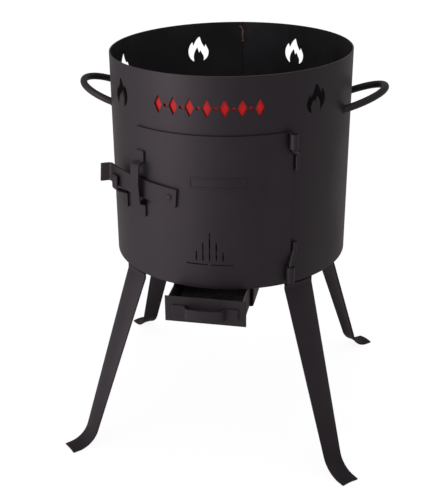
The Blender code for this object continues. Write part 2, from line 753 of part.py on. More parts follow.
def add_rivet_hole(bm):
    """Add the hole for the latch rivet to a cutter's bmesh."""
    radius = RIVET_RADIUS + PIN_RUNNING_GAP
    depth = LEVER_OUTSIDE - DOOR_INSIDE + 2 * CUT_OVERRUN
    made = bmesh.ops.create_cone(
        bm, cap_ends=True, segments=20, radius1=radius, radius2=radius, depth=depth)["verts"]
    lay = Matrix.Rotation(math.radians(90), 4, "X")
    seat = Matrix.Translation(OUTWARD * (LEVER_OUTSIDE + DOOR_INSIDE) / 2 + Z_AXIS * LEVER_Z)
    bmesh.ops.transform(bm, matrix=turn_z(LEVER_ANGLE) @ seat @ lay, verts=made)


def frame_ridge():
    """Raised rectangle on the door, a plain frame with nothing in it."""
    half = math.degrees(FRAME_WIDTH / 2 / DOOR_OUTSIDE)
    low = DOOR_BOTTOM_Z + FRAME_RISE
    ridge = curved_plate(
        "frame_ridge", DOOR_OUTSIDE - DOOR_SHEET / 2, DOOR_SHEET / 2 + FRAME_LIFT,
        (FRAME_ANGLE - half, FRAME_ANGLE + half), (low, low + FRAME_HEIGHT), CUTTERS)
    inner = half - math.degrees(FRAME_RIDGE / DOOR_OUTSIDE)
    hollow = curved_plate(
        "frame_hollow", DOOR_INSIDE - CUT_OVERRUN, DOOR_SHEET + 2 * CUT_OVERRUN,
        (FRAME_ANGLE - inner, FRAME_ANGLE + inner),
        (low + FRAME_RIDGE, low + FRAME_HEIGHT - FRAME_RIDGE), CUTTERS)
    for thing in (ridge, hollow):
        thing.hide_render = True
        thing.display_type = "WIRE"
    boolean(ridge, hollow)
    return ridge


def make_door(axis):
    """Rolled door sheet that overlaps the fire opening, with its slots and pressed frame."""
    door = curved_plate(
        "door_panel", DOOR_INSIDE, DOOR_SHEET, (-DOOR_HALF_ANGLE, DOOR_HALF_ANGLE), (DOOR_BOTTOM_Z, DOOR_TOP_Z))
    boolean(door, frame_ridge(), "UNION")
    bm = bmesh.new()
    add_slots(bm)
    add_rivet_hole(bm)
    boolean(door, make_cutter(bm, "door_holes"))
    smooth(door)
    paint(door, BLACK_PAINT)
    hang(door, axis)


def sleeve_spans():
    """Name, bottom and top of each hinge sleeve."""
    top_end = DOOR_TOP_Z - SLEEVE_END_MARGIN
    bottom_end = DOOR_BOTTOM_Z + SLEEVE_END_MARGIN
    return (
        ("hinge_sleeve_top", top_end - SLEEVE_LENGTH_TOP, top_end),
        ("hinge_sleeve_bottom", bottom_end, bottom_end + SLEEVE_LENGTH_BOTTOM),
    )


def make_sleeves(axis):
    """Two tubes welded along the door's right edge."""
    bore = PIN_RADIUS + PIN_RUNNING_GAP
    for name, low, high in sleeve_spans():
        half = (high - low) / 2
        profile = ((SLEEVE_RADIUS, half), (SLEEVE_RADIUS, -half), (bore, -half), (bore, half))
        sleeve = turned(name, profile, 28, closed=True)
        sleeve.location = hinge_point((low + high) / 2)
        smooth(sleeve, 40)
        paint(sleeve, BLACK_PAINT)
        hang(sleeve, axis)


def make_pins():
    """Two cranked rods welded to the drum. The top one points up, the bottom one down, so both hold the door."""
    weld_radius = DRUM_RADIUS + SEAT_GAP + PIN_RADIUS
    weld_angle = HINGE_ANGLE + math.degrees(PIN_SIDE_STEP / weld_radius)
    spans = sleeve_spans()
    ends = (
        ("hinge_pin_top", spans[0][1], 1, PIN_JOGGLE_RISE_TOP, PIN_WELD_LENGTH_TOP),
        ("hinge_pin_bottom", spans[1][2], -1, PIN_JOGGLE_RISE_BOTTOM, PIN_WELD_LENGTH_BOTTOM),
    )
    for name, mouth, inward, rise, weld_length in ends:
        tip = mouth + inward * PIN_REACH
        neck = mouth - inward * PIN_NECK
        landing = neck - inward * rise
        corners = [
            hinge_point(tip),
            hinge_point(neck),
            wall_point(weld_angle, weld_radius, landing),
            wall_point(weld_angle, weld_radius, landing - inward * weld_length),
        ]
        pin = rod(name, rounded_path(corners, PIN_BEND), PIN_RADIUS)
        paint(pin, BLACK_PAINT)


def strap_axes():
    """Axes for a strap bent in the plane of the drum's axis: out from it, up, and across."""
    return OUTWARD, Z_AXIS, X_AXIS


def make_guide(axis):
    """Bowed strap on the door that the latch lever slides behind."""
    foot_out = DOOR_OUTSIDE + SEAT_GAP + STRAP_THICKNESS / 2
    end_out, middle_out = foot_out + GUIDE_OUT_END, foot_out + GUIDE_OUT_MIDDLE
    low = DRUM_BOTTOM_Z + GUIDE_BOTTOM_RISE + STRAP_THICKNESS
    high = low + GUIDE_LENGTH
    corners = [
        Vector((foot_out, low)),
        Vector((foot_out, low + GUIDE_FOOT)),
        Vector((end_out, low + GUIDE_FOOT + GUIDE_STEP)),
        Vector((middle_out, (low + high) / 2 + GUIDE_STEP)),
        Vector((end_out, high - GUIDE_FOOT - GUIDE_STEP + STRAP_THICKNESS)),
        Vector((foot_out, high - GUIDE_FOOT + STRAP_THICKNESS)),
        Vector((foot_out, high)),
    ]
    guide = bent_strip("latch_guide", rounded_path(corners, STRAP_BEND), STRAP_WIDTH, STRAP_THICKNESS, strap_axes())
    guide.rotation_euler.z = math.radians(GUIDE_ANGLE)
    smooth(guide)
    paint(guide, BLACK_PAINT)
    hang(guide, axis)


def catch_seat():
    """Angle of the catch on the drum, and the distance from the axis at which its hook clears the lever."""
    turn = CATCH_REACH / LEVER_BEND_RADIUS
    left = LEVER_BEND_RADIUS * math.sin(turn) * math.cos(math.radians(LEVER_TILT))
    ahead = LEVER_INSIDE + LEVER_THICKNESS / 2 - LEVER_BEND_RADIUS * (1 - math.cos(turn))
    swing = math.atan2(left, ahead)
    lean = abs(swing - turn)
    lever_face = math.hypot(left, ahead) + LEVER_THICKNESS / 2 / math.cos(lean)
    hook_out = lever_face + STRAP_WIDTH / 2 * math.tan(lean) + CATCH_LEVER_GAP + STRAP_THICKNESS / 2
    return LEVER_ANGLE - math.degrees(swing), hook_out


def make_catch():
    """Upward hook on the drum that the latch lever drops behind."""
    angle, hook_out = catch_seat()
    foot_out = DRUM_RADIUS + SEAT_GAP + STRAP_THICKNESS / 2
    low = DRUM_BOTTOM_Z + CATCH_BOTTOM_RISE
    corners = [
        Vector((foot_out, low)),
        Vector((foot_out, low + CATCH_FOOT)),
        Vector((hook_out, low + CATCH_FOOT + CATCH_STEP)),
        Vector((hook_out, low + CATCH_HEIGHT)),
    ]
    catch = bent_strip("latch_catch", rounded_path(corners, STRAP_BEND), STRAP_WIDTH, STRAP_THICKNESS, strap_axes())
    catch.rotation_euler.z = math.radians(angle)
    smooth(catch)
    paint(catch, BLACK_PAINT)


def lever_path():
    """Middle line of the lever from its tail, to the left and outward from the pivot."""
    straight = [Vector((-LEVER_TAIL, 0)), Vector((0, 0))]
    steps = 14
    sweep = LEVER_LENGTH / LEVER_BEND_RADIUS
    arc = []
    for step in range(1, steps + 1):
        turn = sweep * step / steps
        arc.append(Vector((math.sin(turn), math.cos(turn) - 1)) * LEVER_BEND_RADIUS)
    end = arc[-1]
    pivot_out = LEVER_INSIDE + LEVER_THICKNESS / 2
    radial = Vector((end.x, end.y + pivot_out)).normalized()
    tab = rounded_path([arc[-2], end, end + radial * LEVER_TAB], LEVER_TAB_BEND)
    return straight + arc[:-2] + tab


def make_lever(axis):
    """Flat lever that turns on the rivet and drops into the catch."""
    axes = (-X_AXIS, OUTWARD, Z_AXIS)
    lever = bent_strip("latch_lever", lever_path(), LEVER_WIDTH, LEVER_THICKNESS, axes)
    pivot = wall_point(LEVER_ANGLE, LEVER_INSIDE + LEVER_THICKNESS / 2, LEVER_Z)
    lever.location = pivot
    lever.rotation_euler = (0, math.radians(LEVER_TILT), math.radians(LEVER_ANGLE))
    bm = bmesh.new()
    add_rivet_hole(bm)
    boolean(lever, make_cutter(bm, "lever_hole"))
    smooth(lever)
    paint(lever, BLACK_PAINT)
    hang(lever, pivot_empty("latch_pivot", pivot, axis))


def make_rivet(axis):
    """Rivet through the door and the lever, with a head on each side."""
    inner = DOOR_INSIDE - SEAT_GAP
    outer = LEVER_OUTSIDE + SEAT_GAP
    crown_radius = RIVET_HEAD_RADIUS * RIVET_CROWN_SHARES[0]
    crown_height = RIVET_HEAD_HEIGHT * RIVET_CROWN_SHARES[1]
    profile = (
        (0, outer + RIVET_HEAD_HEIGHT),
        (crown_radius, outer + crown_height),
        (RIVET_HEAD_RADIUS, outer),
        (RIVET_RADIUS, outer),
        (RIVET_RADIUS, inner),
        (RIVET_HEAD_RADIUS, inner),
        (crown_radius, inner - crown_height),
        (0, inner - RIVET_HEAD_HEIGHT),
    )
    rivet = turned("latch_rivet", profile, 24)
    rivet.rotation_euler = (math.radians(90), 0, math.radians(LEVER_ANGLE))
    rivet.location = Z_AXIS * LEVER_Z
    smooth(rivet, 40)
    paint(rivet, BLACK_PAINT)
    hang(rivet, axis)


def turn_under(thing):
    """Turn a piece under the drum, with its place, about the drum's axis."""
    thing.location = turn_z(UNDER_TURN) @ thing.location
    thing.rotation_euler.z = math.radians(UNDER_TURN)


def make_rails():
    """Two rails under the drum's floor. Each has a lip that carries the drawer."""
    web = RAIL_HALF_GAP + RAIL_THICKNESS / 2
    low = RAIL_BOTTOM_Z + RAIL_THICKNESS / 2
    for name, side in (("drawer_rail_right", 1), ("drawer_rail_left", -1)):
        corners = [
            Vector((side * web, RAIL_TOP_Z)),
            Vector((side * web, low)),
            Vector((side * (web - RAIL_LIP), low)),
        ]
        path = rounded_path(corners, RAIL_BEND)
        rail = bent_strip(name, path, RAIL_LENGTH, RAIL_THICKNESS, (X_AXIS, Z_AXIS, Y_AXIS))
        rail.location.y = RAIL_FRONT_Y + RAIL_LENGTH / 2
        turn_under(rail)
        smooth(rail)
        paint(rail, BLACK_PAINT)


def make_tray(axis):
    """Folded ash tray, open at the top."""
    bm = bmesh.new()
    add_box(
        bm, (-TRAY_HALF_WIDTH, TRAY_FRONT_Y, TRAY_BOTTOM_Z),
        (TRAY_HALF_WIDTH, TRAY_FRONT_Y + TRAY_LENGTH, TRAY_TOP_Z))
    lid = max(bm.faces, key=lambda face: face.calc_center_median().z)
    bmesh.ops.delete(bm, geom=[lid], context="FACES_ONLY")
    tray = mesh_from(bm, "ash_tray")
    thicken(tray, TRAY_SHEET, -1)
    turn_under(tray)
    paint(tray, BLACK_PAINT)
    hang(tray, axis)


def make_drawer_front(axis):
    """Drawer front, wider than the tray, so that it stops against the rails."""
    half = RAIL_HALF_GAP + DRAWER_FRONT_MARGIN
    bm = bmesh.new()
    add_box(
        bm, (-half, DRAWER_FRONT_Y, TRAY_BOTTOM_Z - DRAWER_FRONT_DROP),
        (half, DRAWER_FRONT_Y + DRAWER_FRONT_SHEET, TRAY_TOP_Z + DRAWER_FRONT_RISE))
    front = mesh_from(bm, "drawer_front")
    round_edges(front, DRAWER_FRONT_BEVEL)
    turn_under(front)
    smooth(front)
    paint(front, BLACK_PAINT)
    hang(front, axis)


def make_pull(axis):
    """Bowed strap handle on the drawer front."""
    foot = PULL_THICKNESS / 2 + SEAT_GAP
    inner = PULL_HALF_LENGTH - PULL_FOOT
    half = [
        Vector((PULL_HALF_LENGTH, foot)),
        Vector((inner, foot)),
        Vector((inner - PULL_SHOULDER, foot + PULL_SHOULDER_OUT)),
    ]
    corners = [Vector((-point.x, point.y)) for point in half]
    corners.append(Vector((0, foot + PULL_OUT - PULL_THICKNESS / 2)))
    corners.extend(reversed(half))
    pull = bent_strip(
        "drawer_pull", rounded_path(corners, PULL_BEND), PULL_HEIGHT, PULL_THICKNESS, (X_AXIS, OUTWARD, Z_AXIS))
    pull.location.y = DRAWER_FRONT_Y
    pull.location.z = (TRAY_BOTTOM_Z + TRAY_TOP_Z) / 2 - PULL_DROP
    turn_under(pull)
    smooth(pull)
    paint(pull, BLACK_PAINT)
    hang(pull, axis)


def main():
    """Build the whole stove."""
    make_drum()
    make_red_strip()
    make_legs()
    make_bottom_plate()
    make_grate()
    make_handles()
    door_axis = pivot_empty("door_hinge", hinge_point((DOOR_BOTTOM_Z + DOOR_TOP_Z) / 2))
    make_door(door_axis)
    make_sleeves(door_axis)
    make_pins()
    make_guide(door_axis)
    make_catch()
    make_lever(door_axis)
    make_rivet(door_axis)
    make_rails()
    drawer_slide = pivot_empty(
        "drawer_slide", turn_z(UNDER_TURN) @ (OUTWARD * -DRAWER_FRONT_Y + Z_AXIS * TRAY_BOTTOM_Z))
    make_tray(drawer_slide)
    make_drawer_front(drawer_slide)
    make_pull(drawer_slide)


main()
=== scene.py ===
"""Looks of the cauldron stove: paint, enamel, steel, welds, smooth rods, studio and camera.

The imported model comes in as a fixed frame, in metres, +Z up, with the stove's front at -Y.
An angle on the drum is measured from the front, in degrees, positive towards +X.
"""

import logging
import math
from collections.abc import Callable, Sequence
from dataclasses import dataclass, field
from enum import Enum

import bmesh
import bpy
from mathutils import Matrix, Vector


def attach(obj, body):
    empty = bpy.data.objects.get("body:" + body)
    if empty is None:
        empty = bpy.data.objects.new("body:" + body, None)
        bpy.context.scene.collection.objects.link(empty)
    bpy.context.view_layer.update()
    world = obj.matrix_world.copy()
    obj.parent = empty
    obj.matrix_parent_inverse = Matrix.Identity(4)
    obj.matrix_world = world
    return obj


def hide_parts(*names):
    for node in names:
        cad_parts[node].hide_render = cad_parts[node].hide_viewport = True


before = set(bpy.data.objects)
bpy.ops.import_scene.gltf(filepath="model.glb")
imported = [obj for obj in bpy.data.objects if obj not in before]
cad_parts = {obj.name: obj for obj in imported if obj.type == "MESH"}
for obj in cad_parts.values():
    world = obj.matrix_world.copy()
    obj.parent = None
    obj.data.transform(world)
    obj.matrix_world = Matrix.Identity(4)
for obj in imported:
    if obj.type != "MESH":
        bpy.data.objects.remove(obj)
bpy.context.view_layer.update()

log = logging.getLogger("stove")

Triple = tuple[float, float, float]
Colour = Triple
Span = tuple[float, float]
Node = bpy.types.Node
Tree = bpy.types.NodeTree
Socket = bpy.types.NodeSocket
Sockets = bpy.types.bpy_prop_collection
Mesh = bpy.types.Mesh
Thing = bpy.types.Object
Value = float | Triple | Socket
Inputs = dict[str | int, Value]

BLACK: Colour = (0.0, 0.0, 0.0)
WHITE: Colour = (1.0, 1.0, 1.0)

# The numbers of a Mix node's colour sockets
MIX_A, MIX_B, MIX_RESULT = 6, 7, 2

# Sizes that several classes share, in metres and degrees
DRUM_RADIUS = 0.170
DRUM_WALL = 0.002
RIM_Z = 0.5645
SEAM_ANGLE = 182.5
HINGE_ANGLE = 36.472
HINGE_RADIUS = 0.1793

# How far a weld's middle line stands off its sheet
WELD_OUT = 0.0002

# When two corners are one, and when a corner lies on a line
MERGE = 1e-6
NEAR = MERGE * 10

# The turns, in degrees, that count as flat, as an edge to round, and as a crease in a bead or a bar
FLAT_ANGLE = 0.4
SHARP_ANGLE = 40.0
CREASE_ANGLE = 50.0

# The most that an upright face's normal may rise, and how much flat faces rule the shading
UPRIGHT = 0.5
FLATNESS_WEIGHT = 50

# The steps of a rounded edge, and the steps, the width and the profile of a rolled sheet's rounded rim
EDGE_STEPS = 2
RIM_STEPS = 3
RIM_ROUNDING = 0.0005
RIM_PROFILE = 0.5


class Body(Enum):
    """The rigid bodies that pieces ride on."""

    STOVE = "stove"
    DOOR = "door"
    LATCH = "latch"
    DRAWER = "drawer"
    GRATE = "grate"


class Slot(Enum):
    """The record's material slots."""

    PAINT = "black_paint"
    STEEL = "bare_steel"
    RED = "red_paint"


# Node trees


class Board:
    """Adds and links the nodes of one tree in short calls."""

    def __init__(self, tree: Tree) -> None:
        """Keep the tree that the nodes go into.

        Args:
            tree: a shader or geometry node tree.
        """
        self.tree = tree

    def feed(self, socket: Socket, value: Value) -> None:
        """Link a socket into an input, or set the input's own value.

        Args:
            socket: the input.
            value: an output socket, or a number, a switch, a colour or a vector.
        """
        if isinstance(value, Socket):
            self.tree.links.new(value, socket)
        elif isinstance(value, tuple) and socket.type == "RGBA":
            socket.default_value = (*value, 1.0)
        else:
            socket.default_value = value

    def add(self, kind: str, inputs: Inputs | None = None, **settings: object) -> Node:
        """Add a node.

        Args:
            kind: the node's type name.
            inputs: what goes into its inputs, by their name or number.
            settings: properties of the node itself.

        Returns:
            The new node.
        """
        node = self.tree.nodes.new(kind)
        for key, setting in settings.items():
            setattr(node, key, setting)
        for key, value in (inputs or {}).items():
            self.feed(node.inputs[key], value)
        return node

    def math(self, operation: str, *values: Value, clamp: bool = False) -> Socket:
        """Work out one number from others.

        Args:
            operation: the Math node's operation.
            values: its one to three inputs.
            clamp: whether the result stays between 0 and 1.

        Returns:
            The result's socket.
        """
        node = self.add("ShaderNodeMath", dict(enumerate(values)), operation=operation, use_clamp=clamp)
        return node.outputs[0]

    def times(self, first: Value, second: Value) -> Socket:
        """Multiply two numbers."""
        return self.math("MULTIPLY", first, second)

    def dot(self, first: Value, second: Value) -> Socket:
        """Give the dot product of two vectors."""
        node = self.add("ShaderNodeVectorMath", {0: first, 1: second}, operation="DOT_PRODUCT")
        return node.outputs["Value"]

    def part(self, vector: Value, axis: str) -> Socket:
        """Take one coordinate of a vector."""
        return self.add("ShaderNodeSeparateXYZ", {0: vector}).outputs[axis]

    def vector(self, **parts: Value) -> Socket:
        """Join coordinates, given by their names, into a vector."""
        return self.add("ShaderNodeCombineXYZ", parts).outputs[0]

    def object_place(self) -> Socket:
        """Give the object coordinates."""
        return self.add("ShaderNodeTexCoord").outputs["Object"]

    def ramp(self, value: Value, start: Value, end: Value, low: Value = 0.0, high: Value = 1.0) -> Socket:
        """Turn a value from one range smoothly into another.

        Args:
            value: what is mapped.
            start: the value that gives low.
            end: the value that gives high.
            low: the result at start.
            high: the result at end.

        Returns:
            The result's socket.
        """
        inputs = {"Value": value, "From Min": start, "From Max": end, "To Min": low, "To Max": high}
        return self.add("ShaderNodeMapRange", inputs, interpolation_type="SMOOTHSTEP").outputs["Result"]

    def blend(self, share: Value, first: Value, second: Value) -> Socket:
        """Mix two colours.

        Args:
            share: 0 for the first colour and 1 for the second.
            first: a colour.
            second: a colour.

        Returns:
            The mixed colour's socket.
        """
        node = self.add("ShaderNodeMix", {0: share, MIX_A: first, MIX_B: second}, data_type="RGBA")
        return node.outputs[MIX_RESULT]

    def noise(self, place: Value, scale: Value, detail: float, rough: float) -> Socket:
        """Add soft noise.

        Args:
            place: the coordinates.
            scale: spots per metre.
            detail: how many finer layers there are.
            rough: how strong the finer layers are.

        Returns:
            The socket of a value about 0.5.
        """
        inputs = {"Vector": place, "Scale": scale, "Detail": detail, "Roughness": rough}
        return self.add("ShaderNodeTexNoise", inputs).outputs["Fac"]

    def stretched(self, place: Value, scale: Triple) -> Socket:
        """Stretch coordinates along the axes.

        Args:
            place: the coordinates.
            scale: the factor along each axis.

        Returns:
            The new coordinates' socket.
        """
        return self.add("ShaderNodeMapping", {"Vector": place, "Scale": scale}).outputs["Vector"]


def clean_board(owner: bpy.types.Material | bpy.types.World) -> Board:
    """Turn on the nodes of a material or a world, and clear them.

    Args:
        owner: the material or the world.

    Returns:
        The board of its tree.
    """
    owner.use_nodes = True
    owner.node_tree.nodes.clear()
    return Board(owner.node_tree)


def numbers(*names: str) -> dict[str, str]:
    """Give named sockets the type of a plain number."""
    return dict.fromkeys(names, "Float")


def node_group(
        kind: str, name: str, inputs: dict[str, str],
        outputs: dict[str, str]) -> tuple[Board, Sockets, Sockets]:
    """Start a node group with named sockets.

    Args:
        kind: ShaderNodeTree or GeometryNodeTree.
        name: the group's name.
        inputs: each input's name and socket type, without its common prefix.
        outputs: each output's name and socket type.

    Returns:
        The board of the group, its input node's outputs, and its output node's inputs.
    """
    tree = bpy.data.node_groups.new(name, kind)
    for way, sockets in (("INPUT", inputs), ("OUTPUT", outputs)):
        for label, form in sockets.items():
            tree.interface.new_socket(name=label, in_out=way, socket_type="NodeSocket" + form)
    board = Board(tree)
    return board, board.add("NodeGroupInput").outputs, board.add("NodeGroupOutput").inputs


# Effects that several finishes share


class Effects:
    """Shader node groups, each built once.

    A noise is its detail and its roughness, and a span is the two values that become 0 and 1.
    """

    grain_noise: Span = (3.0, 0.65)
    speckle_span: Span = (0.35, 0.68)
    wave_noise: Span = (2.0, 0.5)
    cloud_noise: Span = (4.0, 0.55)
    cloud_span: Span = (0.3, 0.7)
    streak_noise: Span = (2.0, 0.5)
    streak_span: Span = (0.35, 0.7)
    streak_stretch: Triple = (1.0, 1.0, 0.06)
    bevel_samples: int = 6
    turned_span: Span = (0.995, 0.80)
    broken_noise: Span = (3.0, 0.6)
    broken_span: Span = (0.36, 0.60)
    patch_noise: Span = (5.0, 0.7)
    patch_span: Span = (0.30, 0.75)
    patch_levels: Span = (0.25, 1.0)
    upward_span: Span = (0.25, 1.0)

    @staticmethod
    def place(board: Board, build: Callable[[str], Tree], inputs: Inputs) -> Node:
        """Place a group in a tree, built at its first use.

        Args:
            board: the board of the tree.
            build: the method that builds the group, under its own name.
            inputs: what goes into the group's named inputs.

        Returns:
            The group's node.
        """
        tree = bpy.data.node_groups.get(build.__name__) or build(build.__name__)
        return board.add("ShaderNodeGroup", inputs, node_tree=tree)

    @classmethod
    def paint_skin(cls, name: str) -> Tree:
        """Build the fine grain and the slow waves of a sprayed coat, as a height in metres and a speckle.

        Args:
            name: the group's name.

        Returns:
            The group's tree.
        """
        board, given, out = node_group(
            "ShaderNodeTree", name, numbers("Grain Scale", "Grain Depth", "Wave Scale", "Wave Depth"),
            numbers("Height", "Speckle"))
        place = board.object_place()
        grain = board.noise(place, given["Grain Scale"], *cls.grain_noise)
        wave = board.noise(place, given["Wave Scale"], *cls.wave_noise)
        fine = board.times(grain, given["Grain Depth"])
        board.feed(out["Height"], board.math("MULTIPLY_ADD", wave, given["Wave Depth"], fine))
        board.feed(out["Speckle"], board.ramp(grain, *cls.speckle_span))
        return board.tree

    @classmethod
    def sheet_clouds(cls, name: str) -> Tree:
        """Build the uneven tone of a painted sheet: soft clouds, and faint upright streaks.

        Args:
            name: the group's name.

        Returns:
            The group's tree.
        """
        board, given, out = node_group(
            "ShaderNodeTree", name, numbers("Cloud Scale", "Streak Scale"), numbers("Cloud", "Streak"))
        place = board.object_place()
        cloud = board.noise(place, given["Cloud Scale"], *cls.cloud_noise)
        drawn = board.stretched(place, cls.streak_stretch)
        streak = board.noise(drawn, given["Streak Scale"], *cls.streak_noise)
        board.feed(out["Cloud"], board.ramp(cloud, *cls.cloud_span))
        board.feed(out["Streak"], board.ramp(streak, *cls.streak_span))
        return board.tree

    @classmethod
    def worn_edges(cls, name: str) -> Tree:
        """Build rounded normals at sharp edges, and a broken mask of those edges, which the finishes
        lighten as a painted edge highlight with a little wear.

        Args:
            name: the group's name.

        Returns:
            The group's tree.
        """
        board, given, out = node_group(
            "ShaderNodeTree", name, numbers("Radius", "Break Scale"), {"Normal": "Vector", "Edge": "Float"})
        bevel = board.add("ShaderNodeBevel", {"Radius": given["Radius"]}, samples=cls.bevel_samples)
        plain = board.add("ShaderNodeNewGeometry").outputs["Normal"]
        turned = board.ramp(board.dot(bevel.outputs["Normal"], plain), *cls.turned_span)
        place = board.object_place()
        broken = board.ramp(board.noise(place, given["Break Scale"], *cls.broken_noise), *cls.broken_span)
        board.feed(out["Normal"], bevel.outputs["Normal"])
        board.feed(out["Edge"], board.times(turned, broken))
        return board.tree

    @classmethod
    def settled_dust(cls, name: str) -> Tree:
        """Build a patchy mask of the dust that lies on surfaces that face up.

        Args:
            name: the group's name.

        Returns:
            The group's tree.
        """
        board, given, out = node_group("ShaderNodeTree", name, numbers("Patch Scale"), numbers("Dust"))
        up = board.part(board.add("ShaderNodeNewGeometry").outputs["Normal"], "Z")
        spots = board.noise(board.object_place(), given["Patch Scale"], *cls.patch_noise)
        patch = board.ramp(spots, *cls.patch_span, *cls.patch_levels)
        board.feed(out["Dust"], board.times(board.ramp(up, *cls.upward_span), patch))
        return board.tree


# Finishes


@dataclass(frozen=True)
class Finish:
    """One coat or metal, with the shared effects at its own strengths.

    Lengths are in metres and colours are linear.
    """

    name: str
    colour: Colour
    # The lighter colour of the coat's uneven tone, and of the painted highlight on its edges
    worn: Colour
    roughness: float = 0.5
    rough_spread: float = 0.10
    metallic: float = 0.0
    specular: float = 0.5
    tint: Colour = (1.0, 0.82, 0.95)
    coat: float = 0.0
    coat_roughness: float = 0.1
    sheen: float = 0.035
    sheen_roughness: float = 0.35
    sheen_tint: Colour = (1.0, 0.36, 0.60)
    grain_size: float = 0.0005
    grain_depth: float = 0.00002
    wave_size: float = 0.006
    wave_depth: float = 0.00004
    cloud_size: float = 0.07
    clouding: float = 0.22
    streaks_per_cloud: float = 3.0
    streaking: float = 0.10
    speckle: float = 0.15
    edge_radius: float = 0.0006
    edge_breaks: float = 160.0
    edge_wear: float = 0.35
    dust: float = 0.12
    dust_patches: float = 45.0
    dust_colour: Colour = (0.047, 0.045, 0.0425)

    def material(self) -> bpy.types.Material:
        """Give the material, built at the first call."""
        return bpy.data.materials.get(self.name) or self.build()

    def build(self) -> bpy.types.Material:
        """Build the material.

        Returns:
            The material, on a Principled shader.
        """
        material = bpy.data.materials.new(self.name)
        material.diffuse_color = (*self.colour, 1.0)
        board = clean_board(material)
        place = board.object_place()
        skin = Effects.place(board, Effects.paint_skin, {
            "Grain Scale": 1 / self.grain_size, "Grain Depth": self.grain_depth,
            "Wave Scale": 1 / self.wave_size, "Wave Depth": self.wave_depth}).outputs
        clouds = Effects.place(board, Effects.sheet_clouds, {
            "Cloud Scale": 1 / self.cloud_size,
            "Streak Scale": self.streaks_per_cloud / self.cloud_size}).outputs
        edges = Effects.place(board, Effects.worn_edges, {
            "Radius": self.edge_radius, "Break Scale": self.edge_breaks}).outputs
        dust = Effects.place(board, Effects.settled_dust, {
            "Patch Scale": self.dust_patches}).outputs["Dust"]

        colour = self.ground_colour(board, place)
        # Clouds, streaks and speckle are the coat's own uneven tone; the edge mask lightens edges as a
        # painted highlight with a little wear
        for mask, strength in (
                (clouds["Cloud"], self.clouding), (clouds["Streak"], self.streaking),
                (skin["Speckle"], self.speckle), (edges["Edge"], self.edge_wear)):
            colour = board.blend(board.times(mask, strength), colour, self.worn)
        colour = board.blend(board.times(dust, self.dust), colour, self.dust_colour)

        rough = board.math("MULTIPLY_ADD", clouds["Cloud"], self.rough_spread, self.roughness)
        rough = board.math("MULTIPLY_ADD", dust, self.dust, rough, clamp=True)
        bump = board.add("ShaderNodeBump", {
            "Strength": 1.0, "Distance": 1.0, "Height": self.relief(board, place, skin["Height"]),
            "Normal": edges["Normal"]})
        shader = board.add("ShaderNodeBsdfPrincipled", {
            "Base Color": colour, "Roughness": self.gloss(board, place, rough),
            "Metallic": self.metal(board, place), "Specular IOR Level": self.specular,
            "Specular Tint": self.tint, "Coat Weight": self.coat, "Coat Roughness": self.coat_roughness,
            "Sheen Weight": self.sheen, "Sheen Roughness": self.sheen_roughness,
            "Sheen Tint": self.sheen_tint, "Normal": bump.outputs["Normal"]})
        board.feed(board.add("ShaderNodeOutputMaterial").inputs["Surface"], shader.outputs["BSDF"])
        return material

    def ground_colour(self, board: Board, place: Socket) -> Value:
        """Give the coat's colour before any wear."""
        return self.colour

    def relief(self, board: Board, place: Socket, height: Socket) -> Socket:
        """Give the height of the surface, in metres."""
        return height

    def gloss(self, board: Board, place: Socket, rough: Socket) -> Socket:
        """Give the roughness."""
        return rough

    def metal(self, board: Board, place: Socket) -> Value:
        """Give the share of bare metal."""
        return self.metallic


@dataclass(frozen=True)
class DrumFinish(Finish):
    """Paint on the drum's outer face, with the butt seam at the back and a painted highlight just under the
    rim.
    """

    # A lighter band just under the rim: a painted highlight of the rim's edge
    rim_worn: Colour = (0.0285, 0.0247, 0.0270)
    rim_depths: Span = (0.0007, 0.0001)
    seam_colour: Colour = (0.001, 0.001, 0.001)
    seam_half_widths: Span = (0.00055, 0.00055 / 3)
    seam_depth: float = 0.0005
    front_shift: float = 10.0

    def seam_distance(self, board: Board, place: Socket) -> Socket:
        """Give the distance along the wall from the seam, positive towards -X, and large at the front.

        Args:
            board: the board of the material.
            place: the object coordinates.

        Returns:
            The distance's socket, in metres.
        """
        turn = math.radians(SEAM_ANGLE)
        beside = board.dot(place, (math.cos(turn), math.sin(turn), 0.0))
        ahead = board.dot(place, (math.sin(turn), -math.cos(turn), 0.0))
        return board.math("MULTIPLY_ADD", board.math("LESS_THAN", ahead, 0.0), self.front_shift, beside)

    def seam_line(self, board: Board, place: Socket) -> Socket:
        """Mask the seam's gap, 1 on its middle line."""
        beside = board.math("ABSOLUTE", self.seam_distance(board, place))
        return board.ramp(beside, *self.seam_half_widths)

    def own_colour(self, board: Board, place: Socket, height: Socket) -> Value:
        """Give the coat's own colour."""
        return self.colour

    def ground_colour(self, board: Board, place: Socket) -> Value:
        """Give the coat's colour, dark in the seam, with a painted highlight just under the rim.

        Args:
            board: the board of the material.
            place: the object coordinates.

        Returns:
            The colour's socket.
        """
        height = board.part(place, "Z")
        own = self.own_colour(board, place, height)
        sunk = board.blend(self.seam_line(board, place), own, self.seam_colour)
        rim_lit = board.ramp(height, *(RIM_Z - depth for depth in self.rim_depths))
        return board.blend(rim_lit, sunk, self.rim_worn)

    def relief(self, board: Board, place: Socket, height: Socket) -> Socket:
        """Give the height, sunk in the seam."""
        return board.math("MULTIPLY_ADD", self.seam_line(board, place), -self.seam_depth, height)


